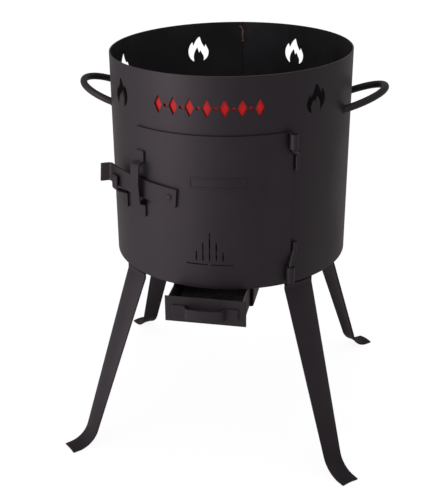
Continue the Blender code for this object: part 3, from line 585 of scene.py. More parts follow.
@dataclass(frozen=True)
class DrumLining(DrumFinish):
    """Paint on the drum's inner face, with a painted light patch beside the seam near the top, painted
    shade towards the rim and away from the seam, and burnt round its weld.

    A blur is a scale, a detail and a roughness of noise, and levels are a ramp's two ends and results.
    """

    # The painted light patch's colour, then two colours of painted shade: towards the rim, and away from
    # the seam
    top: Colour = (0.0230, 0.0232, 0.0285)
    near_rim: Colour = (0.0085, 0.0080, 0.0088)
    shade: Colour = (0.0050, 0.0047, 0.0053)
    shade_span: Span = (0.020, 0.095)
    top_span: Span = (0.480, 0.560)
    seam_edge: float = 0.0005
    patch_reach: float = 0.085
    patch_gain: Span = (0.92, 0.08)
    blotch_blur: Triple = (55.0, 3.0, 0.6)
    blotch_levels: tuple[float, ...] = (0.25, 0.70, 0.45, 1.0)
    burnt: Colour = (0.022, 0.012, 0.005)
    burnt_reach: Span = (0.0075, 0.022)
    burnt_z: float = 0.548
    burnt_span: Span = (1.0, 0.25)
    ragged_blur: Triple = (300.0, 3.0, 0.7)
    ragged_levels: tuple[float, ...] = (0.3, 0.7, -0.5, 0.5)

    def own_colour(self, board: Board, place: Socket, height: Socket) -> Value:
        """Give the coat's own colour, with the painted light patch beside the seam, the painted shade and
        the burnt paint.

        Args:
            board: the board of the material.
            place: the object coordinates.
            height: the height above the ground.

        Returns:
            The colour's socket.
        """
        beside = board.times(self.seam_distance(board, place), -1.0)
        near = board.times(
            board.ramp(beside, -self.seam_edge, self.seam_edge), board.ramp(beside, self.patch_reach, 0.0))
        upper = board.ramp(height, *self.top_span)
        # Painted shade: darker towards the rim, and on the wall away from the seam
        painted_shade = board.blend(upper, self.colour, self.near_rim)
        painted_shade = board.blend(board.ramp(beside, *self.shade_span), painted_shade, self.shade)
        blotch = board.ramp(board.noise(place, *self.blotch_blur), *self.blotch_levels)
        # Painted light: a lighter patch beside the seam, near the top
        lit = board.math("MULTIPLY_ADD", near, *self.patch_gain)
        plain = board.blend(board.times(board.times(lit, upper), blotch), painted_shade, self.top)
        wide, tall = self.burnt_reach
        across = board.math("DIVIDE", beside, wide)
        along = board.math("DIVIDE", board.math("SUBTRACT", height, self.burnt_z), tall)
        spread = board.math("MULTIPLY_ADD", along, along, board.times(across, across))
        uneven = board.ramp(board.noise(place, *self.ragged_blur), *self.ragged_levels)
        ragged = board.ramp(board.math("ADD", spread, uneven), *self.burnt_span)
        return board.blend(ragged, plain, self.burnt)


@dataclass(frozen=True)
class LegFinish(Finish):
    """Paint on the legs, darker and duller towards the foot, with a black painted shadow just under the
    drum's rim.
    """

    rim_shadow: Span = (0.2646, 0.2670)
    rim_inside: Span = (0.2715, 0.2695)
    foot_span: Span = (0.120, 0.020)
    foot_colour: Colour = (0.0022, 0.0015, 0.0020)
    foot_dulling: float = 0.14

    def near_ground(self, board: Board, place: Socket) -> Socket:
        """Mask the foot, 1 at the ground."""
        return board.ramp(board.part(place, "Z"), *self.foot_span)

    def under_rim(self, board: Board, place: Socket) -> Socket:
        """Mask the narrow band where the leg leaves the drum, which carries a painted shadow of the drum's
        rim.
        """
        height = board.part(place, "Z")
        return board.times(board.ramp(height, *self.rim_shadow), board.ramp(height, *self.rim_inside))

    def ground_colour(self, board: Board, place: Socket) -> Value:
        """Give the coat's colour, dark on the foot, with a black painted shadow under the rim."""
        own = board.blend(self.near_ground(board, place), self.colour, self.foot_colour)
        return board.blend(self.under_rim(board, place), own, BLACK)

    def metal(self, board: Board, place: Socket) -> Value:
        """Take the shine off the painted shadow under the rim, which is black metal too."""
        return self.under_rim(board, place)

    def gloss(self, board: Board, place: Socket, rough: Socket) -> Socket:
        """Give the roughness, higher on the foot."""
        foot = self.near_ground(board, place)
        return board.math("MULTIPLY_ADD", foot, self.foot_dulling, rough, clamp=True)


@dataclass(frozen=True)
class LeverFinish(Finish):
    """Paint on the latch lever, with painted light on its end tab."""

    tab_span: Span = (-0.1480, -0.1510)
    tab_colour: Colour = (0.0345, 0.0275, 0.0325)

    def ground_colour(self, board: Board, place: Socket) -> Value:
        """Give the coat's colour, with painted light on the tab."""
        tab = board.ramp(board.part(place, "X"), *self.tab_span)
        return board.blend(tab, self.colour, self.tab_colour)


COAT: Colour = (0.0060, 0.0050, 0.0057)
COAT_WORN_AND_HIGHLIGHT: Colour = (0.0190, 0.0170, 0.0180)
OUTSIDE_PAINT = Finish("heatproof_paint", COAT, COAT_WORN_AND_HIGHLIGHT, roughness=0.50)
DRUM_PAINT = DrumFinish("drum_paint", COAT, COAT_WORN_AND_HIGHLIGHT, roughness=0.44)
LEVER_PAINT = LeverFinish("lever_paint", COAT, COAT_WORN_AND_HIGHLIGHT, roughness=0.50)
DRUM_LINING = DrumLining(
    "drum_lining", colour=(0.0150, 0.0142, 0.0155), worn=(0.0300, 0.0285, 0.0300), specular=0.12,
    roughness=0.72, clouding=0.30, sheen=0.0)
LEG_PAINT = LegFinish(
    "leg_paint", colour=(0.0060, 0.0048, 0.0056), worn=(0.0190, 0.0165, 0.0178), roughness=0.50, dust=0.0)
# A darker, duller copy of the leg paint for the faces that look at the drum's axis: painted shade
LEG_SHADE_PAINT = LegFinish(
    "leg_shade_paint", colour=(0.0062, 0.0042, 0.0057), worn=(0.0180, 0.0150, 0.0170), roughness=0.52,
    specular=0.34, tint=(1.0, 0.78, 0.94), dust=0.0, sheen=0.045)
DOOR_PAINT = Finish(
    "door_paint", colour=(0.0058, 0.0049, 0.0056), worn=(0.0180, 0.0165, 0.0175),
    roughness=0.43, cloud_size=0.055)
ROD_PAINT = Finish(
    "rod_paint", colour=(0.0055, 0.0050, 0.0055), worn=(0.0210, 0.0200, 0.0210),
    roughness=0.45, cloud_size=0.03, wave_size=0.004)
TRAY_PAINT = Finish(
    "tray_paint", colour=(0.0150, 0.0125, 0.0130), worn=(0.045, 0.040, 0.040),
    roughness=0.60, cloud_size=0.03, clouding=0.4, dust=0.70, dust_colour=(0.22, 0.19, 0.185))
DRAWER_PAINT = Finish(
    "drawer_paint", colour=(0.0062, 0.0052, 0.0059), worn=(0.0180, 0.0160, 0.0175),
    roughness=0.52, cloud_size=0.05)
WELD_PAINT = Finish(
    "painted_weld", colour=(0.0066, 0.0062, 0.0066), worn=(0.0280, 0.0260, 0.0260),
    roughness=0.46, grain_size=0.0008, grain_depth=0.00005, speckle=0.30)
RAW_WELD = Finish(
    "raw_weld", colour=(0.060, 0.058, 0.061), worn=(0.200, 0.195, 0.200), roughness=0.48, metallic=0.55,
    tint=WHITE, grain_size=0.0007, grain_depth=0.00008, speckle=0.75, cloud_size=0.006, clouding=0.6,
    sheen=0.0)
RED_ENAMEL = Finish(
    "red_enamel", colour=(0.46, 0.0035, 0.0035), worn=(0.46, 0.009, 0.009), roughness=0.40, specular=0.04,
    tint=WHITE, coat=0.55, coat_roughness=0.09, clouding=0.15, streaking=0.04, speckle=0.05, dust=0.0,
    edge_wear=0.1, sheen=0.0)
SCALED_STEEL = Finish(
    "scaled_steel", colour=(0.060, 0.061, 0.065), worn=(0.17, 0.165, 0.16), roughness=0.52, metallic=0.80,
    tint=WHITE, grain_size=0.0009, grain_depth=0.00003, cloud_size=0.03, clouding=0.5, streaking=0.05,
    dust=0.20, dust_colour=(0.05, 0.045, 0.04), sheen=0.0)
CAST_IRON = Finish(
    "cast_iron", colour=(0.034, 0.033, 0.034), worn=(0.10, 0.095, 0.09), roughness=0.60, metallic=0.60,
    tint=WHITE, grain_size=0.0012, grain_depth=0.00012, speckle=0.45, cloud_size=0.025, clouding=0.35,
    dust=0.18, sheen=0.0)


# Meshes


def drum_point(angle: float, radius: float, height: float, side: float = 0.0) -> Vector:
    """Place a point round the drum's axis.

    Args:
        angle: degrees from the front.
        radius: distance from the axis, before the side step.
        height: height above the ground.
        side: a straight step along the wall, positive towards growing angles.

    Returns:
        The point.
    """
    return Matrix.Rotation(math.radians(angle), 3, "Z") @ Vector((side, -radius, height))


def rounded(corners: Sequence[Vector], bend: float, steps: int = 8) -> list[Vector]:
    """Round the inner corners of a chain of points.

    Args:
        corners: the chain.
        bend: the radius.
        steps: the arcs' steps.

    Returns:
        The rounded chain.
    """
    path = [corners[0]]
    for before, corner, after in zip(corners, corners[1:], corners[2:]):
        back, ahead = (before - corner).normalized(), (after - corner).normalized()
        half_turn = (math.pi - back.angle(ahead)) / 2
        reach = bend * math.tan(half_turn)
        centre = corner + (back + ahead).normalized() * (bend / math.cos(half_turn))
        start, end = corner + back * reach - centre, corner + ahead * reach - centre
        for step in range(steps + 1):
            share = step / steps
            arm = start * math.sin((1 - share) * 2 * half_turn) + end * math.sin(share * 2 * half_turn)
            path.append(centre + arm / math.sin(2 * half_turn))
    path.append(corners[-1])
    return path


def merged_copy(node: str) -> bmesh.types.BMesh:
    """Copy a CAD node's triangles, merge their corners and join the ones that lie flat.

    Args:
        node: the node's name.

    Returns:
        The bmesh of the copy.
    """
    bm = bmesh.new()
    bm.from_mesh(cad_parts[node].data)
    bmesh.ops.remove_doubles(bm, verts=bm.verts, dist=MERGE)
    bmesh.ops.dissolve_limit(bm, angle_limit=math.radians(FLAT_ANGLE), verts=bm.verts, edges=bm.edges)
    return bm


def settle(thing: Thing) -> None:
    """Turn an object's modifiers into its mesh.

    Args:
        thing: the object.
    """
    bpy.context.view_layer.update()
    graph = bpy.context.evaluated_depsgraph_get()
    mesh = bpy.data.meshes.new_from_object(thing.evaluated_get(graph), depsgraph=graph)
    thing.modifiers.clear()
    thing.data = mesh
    mesh.name = thing.name


def soften(thing: Thing, width: float) -> None:
    """Round an object's sharp edges and keep its flat faces flat to the light.

    Args:
        thing: the object.
        width: the rounding's width, in metres.
    """
    thing.data.shade_smooth()
    bevel = thing.modifiers.new("rounded_edges", "BEVEL")
    bevel.width = width
    bevel.segments = EDGE_STEPS
    bevel.limit_method = "ANGLE"
    bevel.angle_limit = math.radians(SHARP_ANGLE)
    thing.modifiers.new("flat_faces", "WEIGHTED_NORMAL").weight = FLATNESS_WEIGHT
    settle(thing)


def object_from(bm: bmesh.types.BMesh, name: str) -> Thing:
    """Turn a bmesh into an object in the scene, and free it.

    Args:
        bm: the bmesh.
        name: the object's name.

    Returns:
        The object.
    """
    mesh = bpy.data.meshes.new(name)
    bm.to_mesh(mesh)
    bm.free()
    thing = bpy.data.objects.new(name, mesh)
    bpy.context.scene.collection.objects.link(thing)
    return thing


def roll_normals(mesh: Mesh, least: float = 0.97) -> None:
    """Shade the walls of a rolled sheet as exact cylinders, and its other faces flat.

    Args:
        mesh: a mesh rolled round the Z axis.
        least: how nearly a face has to look along its radius to count as wall.
    """
    mesh.shade_smooth()
    normals = [Vector(loop.normal) for loop in mesh.loops]
    for face in mesh.polygons:
        outward = Vector((face.center.x, face.center.y, 0.0)).normalized()
        along = face.normal.dot(outward)
        for index in face.loop_indices:
            spot = mesh.vertices[mesh.loops[index].vertex_index].co
            normal = Vector((spot.x, spot.y, 0.0)).normalized() * math.copysign(1.0, along)
            normals[index] = normal if abs(along) > least else face.normal.copy()
    mesh.normals_split_custom_set(normals)


def present(
        thing: Thing, body: Body, finish: Finish | None = None,
        nodes: Sequence[str] = ()) -> Thing:
    """Give a finished piece its material, its body and the CAD nodes that it stands for.

    Args:
        thing: the piece.
        body: the body that it rides on.
        finish: its finish, or None where its mesh has one.
        nodes: the CAD nodes that it replaces.

    Returns:
        The piece.
    """
    if finish is not None:
        thing.data.materials.clear()
        thing.data.materials.append(finish.material())
    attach(thing, body.value)
    if nodes:
        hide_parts(*nodes)
    log.info("%s: %d faces, rides on %s", thing.name, len(thing.data.polygons), body.value)
    return thing


def coated(node: str, body: Body, finish: Finish, width: float) -> Thing:
    """Make the finished copy of a CAD node, with its edges rounded.

    Args:
        node: the node's name.
        body: the body that it rides on.
        finish: its finish.
        width: the rounding's width, in metres.

    Returns:
        The piece.
    """
    thing = object_from(merged_copy(node), f"{node}_finished")
    soften(thing, width)
    return present(thing, body, finish, [node])


def rolled_sheet(
        node: str, name: str, body: Body, finish: Finish,
        at_rim: Callable[[Vector], bool] | None = None) -> Thing:
    """Make the finished copy of a rolled sheet, shaded as a true cylinder.

    Args:
        node: the CAD node's name.
        name: the piece's name.
        body: the body that it rides on.
        finish: its finish.
        at_rim: tells whether a corner lies on a rim to be rounded, or None where none is.

    Returns:
        The piece.
    """
    bm = merged_copy(node)
    if at_rim is not None:
        limit = math.radians(SHARP_ANGLE)
        rims = [
            edge for edge in bm.edges
            if len(edge.link_faces) == 2 and edge.calc_face_angle(0.0) > limit
            and all(at_rim(corner.co) for corner in edge.verts)]
        bmesh.ops.bevel(
            bm, geom=rims, offset=RIM_ROUNDING, segments=RIM_STEPS, profile=RIM_PROFILE, affect="EDGES")
    sheet = object_from(bm, name)
    roll_normals(sheet.data)
    return present(sheet, body, finish, [node])


def line_inside(thing: Thing, finish: Finish, limit: float = math.inf) -> None:
    """Give a second finish to the upright faces that look at the drum's axis.

    Args:
        thing: the piece, which has its first finish.
        finish: the second finish.
        limit: how far from the axis such a face may lie.
    """
    thing.data.materials.append(finish.material())
    for face in thing.data.polygons:
        inward = face.normal.x * face.center.x + face.normal.y * face.center.y < 0.0
        near = math.hypot(face.center.x, face.center.y) < limit
        face.material_index = int(inward and near and abs(face.normal.z) < UPRIGHT)


# Geometry node tools


@dataclass
class Line:
    """A chain of points that a weld or a rod follows."""

    points: list[Vector]
    closed: bool = False


def line_mesh(name: str, lines: Sequence[Line]) -> Mesh:
    """Make a mesh of bare edges from lines.

    Args:
        name: the mesh's name.
        lines: the lines.

    Returns:
        The mesh.
    """
    corners: list[Vector] = []
    edges: list[tuple[int, int]] = []
    for line in lines:
        start, count = len(corners), len(line.points)
        corners.extend(line.points)
        edges.extend((start + index, start + index + 1) for index in range(count - 1))
        if line.closed:
            edges.append((start + count - 1, start))
    mesh = bpy.data.meshes.new(name)
    mesh.from_pydata([tuple(corner) for corner in corners], edges, [])
    return mesh


def level_line(angle: float, radius: float, height: float, half_length: float) -> Line:
    """Make a level line at one angle on the drum."""
    return Line([drum_point(angle, radius, height, step) for step in (-half_length, 0.0, half_length)])


def upright_line(angle: float, radius: float, low: float, high: float, side: float = 0.0) -> Line:
    """Make an upright line at one angle on the drum, stepped to its side."""
    return Line([drum_point(angle, radius, height, side) for height in (low, high)])


class ShopTool:
    """A geometry node tree that makes pieces from lines or sizes."""

    name = "tool"
    inputs: dict[str, str] = {}

    def __init__(self) -> None:
        """Build the tree once."""
        sockets = {"Geometry": "Geometry", **self.inputs, "Material": "Material"}
        board, given, out = node_group("GeometryNodeTree", self.name, sockets, {"Geometry": "Geometry"})
        shape = self.wire(board, given)
        real = board.add("GeometryNodeRealizeInstances", {"Geometry": shape}).outputs["Geometry"]
        smooth = board.add("GeometryNodeSetShadeSmooth", {"Geometry": real}).outputs["Geometry"]
        done = board.add("GeometryNodeSetMaterial", {"Geometry": smooth, "Material": given["Material"]})
        board.feed(out["Geometry"], done.outputs["Geometry"])
        self.tree = board.tree

    def wire(self, board: Board, given: Sockets) -> Socket:
        """Add the tree's own nodes.

        Args:
            board: the tree's board.
            given: the sockets of the inputs.

        Returns:
            The made geometry's socket.
        """
        raise NotImplementedError

    def make(
            self, name: str, source: Mesh, finish: Finish, values: dict[str, float],
            rounding: float = 0.0) -> Thing:
        """Run the tree and keep its result as a plain mesh.

        Args:
            name: the piece's name.
            source: the mesh that the tree starts from.
            finish: the finish that its Set Material node sets.
            values: the named inputs' values.
            rounding: the width of a bevel after the tree, or 0 for none.

        Returns:
            The piece.
        """
        thing = bpy.data.objects.new(name, source)
        bpy.context.scene.collection.objects.link(thing)
        step = thing.modifiers.new(self.name, "NODES")
        step.node_group = self.tree
        wanted = {**values, "Material": finish.material()}
        for item in self.tree.interface.items_tree:
            if item.item_type == "SOCKET" and item.in_out == "INPUT" and item.name in wanted:
                step[item.identifier] = wanted[item.name]
        settle(thing)
        if rounding:
            soften(thing, rounding)
        else:
            thing.data.set_sharp_from_angle(angle=math.radians(CREASE_ANGLE))
        return thing


class WeldBead(ShopTool):
    """Lays a rippled weld bead along each line."""

    name = "weld_bead"
    inputs = numbers("Radius", "Pitch", "Ripple", "Unevenness", "Seed")
    steps_per_ripple = 4.0
    noise_scale = 420.0
    end_growth = 0.6
    end_size = 0.4
    ring_sides = 10

    def wire(self, board: Board, given: Sockets) -> Socket:
        """Add the resampling, the ripple, the rounded ends and the tube.

        Args:
            board: the tree's board.
            given: the sockets of the inputs.

        Returns:
            The beads' socket.
        """
        curve = board.add("GeometryNodeMeshToCurve", {"Mesh": given["Geometry"]}).outputs["Curve"]
        step = board.math("DIVIDE", given["Pitch"], self.steps_per_ripple)
        curve = board.add(
            "GeometryNodeResampleCurve", {"Curve": curve, "Length": step}, mode="LENGTH").outputs["Curve"]
        along = board.add("GeometryNodeSplineParameter").outputs["Length"]
        whole = board.add("GeometryNodeSplineLength").outputs["Length"]
        phase = board.math("DIVIDE", board.times(along, math.tau), given["Pitch"])
        ripple = board.math("MULTIPLY_ADD", board.math("SINE", phase), given["Ripple"], 1.0)
        noise = board.add(
            "ShaderNodeTexNoise", {"W": given["Seed"], "Scale": self.noise_scale, "Detail": 1.0},
            noise_dimensions="4D").outputs["Fac"]
        spread = board.times(board.math("SUBTRACT", noise, 0.5), given["Unevenness"])
        near_end = board.math("MINIMUM", along, board.math("SUBTRACT", whole, along))
        taper = board.math(
            "MULTIPLY_ADD", board.math("DIVIDE", near_end, given["Radius"]), self.end_growth, self.end_size)
        size = board.times(board.math("ADD", ripple, spread), given["Radius"])
        size = board.times(size, board.math("MINIMUM", taper, 1.0))
        ring = board.add("GeometryNodeCurvePrimitiveCircle", {"Resolution": self.ring_sides, "Radius": 1.0})
        tube = board.add("GeometryNodeCurveToMesh", {
            "Curve": curve, "Profile Curve": ring.outputs["Curve"], "Scale": size, "Fill Caps": True})
        return tube.outputs["Mesh"]


class RoundBar(ShopTool):
    """Makes a round bar along each line."""

    name = "round_bar"
    inputs = {"Radius": "Float", "Sides": "Int"}

    def wire(self, board: Board, given: Sockets) -> Socket:
        """Add the round profile and the tube.

        Args:
            board: the tree's board.
            given: the sockets of the inputs.

        Returns:
            The bars' socket.
        """
        curve = board.add("GeometryNodeMeshToCurve", {"Mesh": given["Geometry"]}).outputs["Curve"]
        ring = board.add(
            "GeometryNodeCurvePrimitiveCircle", {"Resolution": given["Sides"], "Radius": given["Radius"]})
        tube = board.add("GeometryNodeCurveToMesh", {
            "Curve": curve, "Profile Curve": ring.outputs["Curve"], "Fill Caps": True})
        return tube.outputs["Mesh"]

    def dress(self, node: str, points: Sequence[Vector], values: dict[str, float]) -> None:
        """Bend a bar that stands for a CAD node of the stove.

        Args:
            node: the node's name.
            points: the points of the bar's middle line.
            values: the named inputs' values.
        """
        bar = self.make(f"{node}_bar", line_mesh(node, [Line(points)]), ROD_PAINT, values)
        present(bar, Body.STOVE, None, [node])


class GrateCasting(ShopTool):
    """Makes a loose grate: a rim with rounded corners and a row of bars."""

    name = "grate_casting"
    inputs = {
        **numbers("Width", "Length", "Corner", "Hole Width", "Hole Length", "Thickness"), "Bars": "Int",
        **numbers("Bar Width", "Foot")}
    hole_corner = 0.003
    corner_steps = 6
    bar_overlap = 0.5
    bar_slimness = 0.96

    def rectangle(self, board: Board, width: Socket, length: Socket, corner: Value) -> Socket:
        """Add a rectangle with rounded corners.

        Args:
            board: the tree's board.
            width: its width.
            length: its length.
            corner: its corners' radius.

        Returns:
            The curve's socket.
        """
        sides = board.add("GeometryNodeCurvePrimitiveQuadrilateral", {"Width": width, "Height": length})
        inputs = {"Curve": sides.outputs["Curve"], "Count": self.corner_steps, "Radius": corner}
        return board.add("GeometryNodeFilletCurve", inputs, mode="POLY").outputs["Curve"]

    def joined(self, board: Board, *shapes: Socket) -> Socket:
        """Join geometries.

        Args:
            board: the tree's board.
            shapes: the geometries' sockets.

        Returns:
            The joined geometry's socket.
        """
        join = board.add("GeometryNodeJoinGeometry")
        for shape in shapes:
            board.feed(join.inputs[0], shape)
        return join.outputs[0]

    def wire(self, board: Board, given: Sockets) -> Socket:
        """Add the rim, cut by its hole, and the bars across the hole.

        Args:
            board: the tree's board.
            given: the sockets of the inputs.

        Returns:
            The grate's socket.
        """
        outline = self.joined(
            board, self.rectangle(board, given["Width"], given["Length"], given["Corner"]),
            self.rectangle(board, given["Hole Width"], given["Hole Length"], self.hole_corner))
        flat = board.add("GeometryNodeFillCurve", {"Curve": outline}).outputs["Mesh"]
        raised = board.add("GeometryNodeExtrudeMesh", {
            "Mesh": flat, "Offset Scale": given["Thickness"], "Individual": False}).outputs["Mesh"]
        under = board.add("GeometryNodeFlipFaces", {"Mesh": flat}).outputs["Mesh"]
        rim = self.joined(board, raised, under)
        closed = board.add("GeometryNodeMergeByDistance", {"Geometry": rim, "Distance": NEAR})

        room = board.math("ADD", given["Hole Width"], given["Bar Width"])
        pitch = board.math("DIVIDE", room, board.math("ADD", given["Bars"], 1.0))
        first = board.math("SUBTRACT", pitch, board.math("DIVIDE", room, 2.0))
        half = board.math("DIVIDE", given["Thickness"], 2.0)
        row = board.add("GeometryNodeMeshLine", {
            "Count": given["Bars"], "Start Location": board.vector(X=first, Z=half),
            "Offset": board.vector(X=pitch)})
        reach = board.math("ADD", given["Hole Length"], board.times(given["Bar Width"], self.bar_overlap))
        slim = board.times(given["Thickness"], self.bar_slimness)
        size = board.vector(X=given["Bar Width"], Y=reach, Z=slim)
        bar = board.add("GeometryNodeMeshCube", {"Size": size}).outputs["Mesh"]
        bars = board.add("GeometryNodeInstanceOnPoints", {"Points": row.outputs["Mesh"], "Instance": bar})

        whole = self.joined(board, closed.outputs["Geometry"], bars.outputs["Instances"])
        lift = board.vector(Z=given["Foot"])
        seated = board.add("GeometryNodeTransform", {"Geometry": whole, "Translation": lift})
        return seated.outputs["Geometry"]


# Sub-assemblies


@dataclass
class Drum:
    """The rolled wall with its cut-outs, the red strip behind them, the floor and the seam.

    The tack welds are given as angles and heights on the wall.
    """

    bottom: float = 0.269
    floor_rounding: float = 0.0004
    top_tack: tuple[Span, ...] = (
        (183.4, 0.5566), (182.9, 0.5548), (182.5, 0.5520), (182.4, 0.5480),
        (182.75, 0.5440), (182.45, 0.5400), (182.4, 0.5375), (182.6, 0.5336))
    blob: tuple[Span, ...] = ((184.2, 0.5590), (183.9, 0.5579), (183.3, 0.5568))
    tack_spans: tuple[Span, ...] = ((0.4120, 0.4260), (0.2800, 0.2980))
    tack_gap: float = 0.0001
    tack_steps: int = 9
    tack_sway: float = 0.0007
    sway_turn: float = 2.3
    tack_radius: float = 0.0012
    blob_radius: float = 0.0020
    tack_values: dict[str, float] = field(default_factory=lambda: {
        "Pitch": 0.0036, "Ripple": 0.26, "Unevenness": 0.9, "Seed": 3.0})

    def build(self) -> None:
        """Make the wall with its lining, the strip, the floor and the seam's tack welds."""
        wall = rolled_sheet("drum_shell", "drum_wall", Body.STOVE, DRUM_PAINT, self.at_rim)
        line_inside(wall, DRUM_LINING, DRUM_RADIUS - DRUM_WALL / 2)
        rolled_sheet("red_strip", "red_band", Body.STOVE, RED_ENAMEL)
        coated("bottom_plate", Body.STOVE, SCALED_STEEL, self.floor_rounding)
        self.build_tacks()

    def at_rim(self, spot: Vector) -> bool:
        """Tell whether a corner of the wall lies on its upper or lower rim."""
        return min(abs(spot.z - RIM_Z), abs(spot.z - self.bottom)) < NEAR

    def build_tacks(self) -> None:
        """Lay the rough tack welds of the butt seam, inside the wall."""
        inner = DRUM_RADIUS - DRUM_WALL - self.tack_gap
        lines = [Line([drum_point(angle, inner, height) for angle, height in self.top_tack])]
        for low, high in self.tack_spans:
            points = []
            for index in range(self.tack_steps):
                share = index / (self.tack_steps - 1)
                sway = self.tack_sway * math.sin(index * self.sway_turn)
                points.append(drum_point(SEAM_ANGLE, inner, low + (high - low) * share, sway))
            lines.append(Line(points))
        blob = [Line([drum_point(angle, inner, height) for angle, height in self.blob])]
        for name, chains, size in (
                ("seam_tacks", lines, self.tack_radius), ("seam_blob", blob, self.blob_radius)):
            values = {**self.tack_values, "Radius": size}
            tacks = WELD.make(name, line_mesh(name, chains), RAW_WELD, values)
            present(tacks, Body.STOVE)


@dataclass
class Legs:
    """Four gutter-shaped legs, welded inside the drum."""

    nodes: tuple[str, ...] = ("leg_front_right", "leg_back_right", "leg_back_left", "leg_front_left")
    rounding: float = 0.0007
    first_angle: float = 44.3
    tab_top: float = 0.308
    tab_radius: float = 0.1646
    tab_half_width: float = 0.0225
    weld_outward: float = 0.0024
    weld_upward: float = 0.0004
    weld_shares: tuple[float, ...] = (-1, -0.6, -0.2, 0.2, 0.6, 1)

    def build(self) -> None:
        """Make the finished copy of each leg."""
        for node in self.nodes:
            leg = coated(node, Body.STOVE, LEG_PAINT, self.rounding)
            # The faces that look at the axis take the painted-shade copy of the leg paint
            line_inside(leg, LEG_SHADE_PAINT)

    def weld_lines(self) -> list[Line]:
        """Give the welds over the tabs' top ends, inside the drum.

        Returns:
            One line for each leg.
        """
        spread = math.degrees(self.tab_half_width / self.tab_radius)
        out, up = self.tab_radius + self.weld_outward, self.tab_top + self.weld_upward
        middles = [self.first_angle + 360 / len(self.nodes) * index for index in range(len(self.nodes))]
        return [
            Line([drum_point(angle + spread * share, out, up) for share in self.weld_shares])
            for angle in middles]


@dataclass
class Handles:
    """The two round-bar side handles."""

    bar: dict[str, float] = field(default_factory=lambda: {"Radius": 0.005, "Sides": 28})
    half_width: float = 0.047
    reach: float = 0.0454
    base_z: float = 0.493
    lift: float = 0.020
    roundness: float = 0.92
    steps: int = 48
    sunk: float = 0.0002
    weld_gap: float = 0.0001
    weld_steps: int = 20

    def build(self) -> None:
        """Make each handle as one smooth bent bar."""
        root = math.sqrt(DRUM_RADIUS ** 2 - self.half_width ** 2)
        for node, side in (("side_handle_right", 1), ("side_handle_left", -1)):
            points = []
            for step in range(self.steps + 1):
                turn = math.pi * step / self.steps
                share = math.sin(turn) ** self.roundness if 0 < step < self.steps else 0.0
                out = root + (DRUM_RADIUS + self.reach - root) * share
                points.append(Vector((
                    side * out, self.half_width * math.cos(turn), self.base_z + self.lift * share)))
            inward = Vector((side * self.sunk, 0, 0))
            BAR.dress(node, [points[0] - inward, *points, points[-1] - inward], self.bar)

    def weld_lines(self) -> list[Line]:
        """Give the ring welds where the bars meet the wall.

        Returns:
            One closed line for each end.
        """
        lines = []
        ring = self.bar["Radius"] + self.weld_gap
        for side, end in ((-1, -1), (-1, 1), (1, -1), (1, 1)):
            points = []
            for index in range(self.weld_steps):
                turn = math.tau * index / self.weld_steps
                y = end * self.half_width + ring * math.cos(turn)
                x = side * math.sqrt(DRUM_RADIUS ** 2 - y ** 2)
                points.append(Vector((x, y, self.base_z + ring * math.sin(turn))))
            lines.append(Line(points, closed=True))
        return lines


@dataclass
class FireDoor:
    """The rolled door with its sleeves and the latch guide."""

    outside: float = 0.173
    half_angle: float = 37.3
    angle_slack: float = 0.01
    bottom: float = 0.274
    top: float = 0.4875
    rounding: float = 0.0005
    sleeve_spans: tuple[Span, ...] = ((0.4665, 0.4867), (0.2748, 0.2983))
    sleeve_weld_side: float = 0.0017
    sleeve_weld_inset: float = 0.001
    guide_angle: float = -34.584
    guide_weld_heights: Span = (0.3612, 0.4558)
    guide_weld_half_length: float = 0.0065

    def build(self) -> None:
        """Make the panel, the sleeves and the guide."""
        rolled_sheet("door_panel", "door_sheet", Body.DOOR, DOOR_PAINT, self.at_edge)
        for node in ("hinge_sleeve_top", "hinge_sleeve_bottom"):
            coated(node, Body.DOOR, ROD_PAINT, self.rounding)
        coated("latch_guide", Body.DOOR, OUTSIDE_PAINT, self.rounding)

    def at_edge(self, spot: Vector) -> bool:
        """Tell whether a corner of the panel lies on its outline.

        Args:
            spot: the corner's place.

        Returns:
            True where it does.
        """
        angle = abs(math.degrees(math.atan2(spot.x, -spot.y)))
        level = min(abs(spot.z - self.bottom), abs(spot.z - self.top)) < NEAR
        return level or abs(angle - self.half_angle) < self.angle_slack

    def weld_lines(self) -> list[Line]:
        """Give the welds of the sleeves and of the guide's feet.

        Returns:
            The lines, on the door.
        """
        lines = []
        out = self.outside + WELD_OUT
        beside = HINGE_ANGLE + math.degrees(self.sleeve_weld_side / self.outside)
        for low, high in self.sleeve_spans:
            third = (high - low) / 3
            lines.append(upright_line(beside, out, low + self.sleeve_weld_inset, low + third))
            lines.append(upright_line(beside, out, high - third, high - self.sleeve_weld_inset))
        for height in self.guide_weld_heights:
            lines.append(level_line(self.guide_angle, out, height, self.guide_weld_half_length))
        return lines


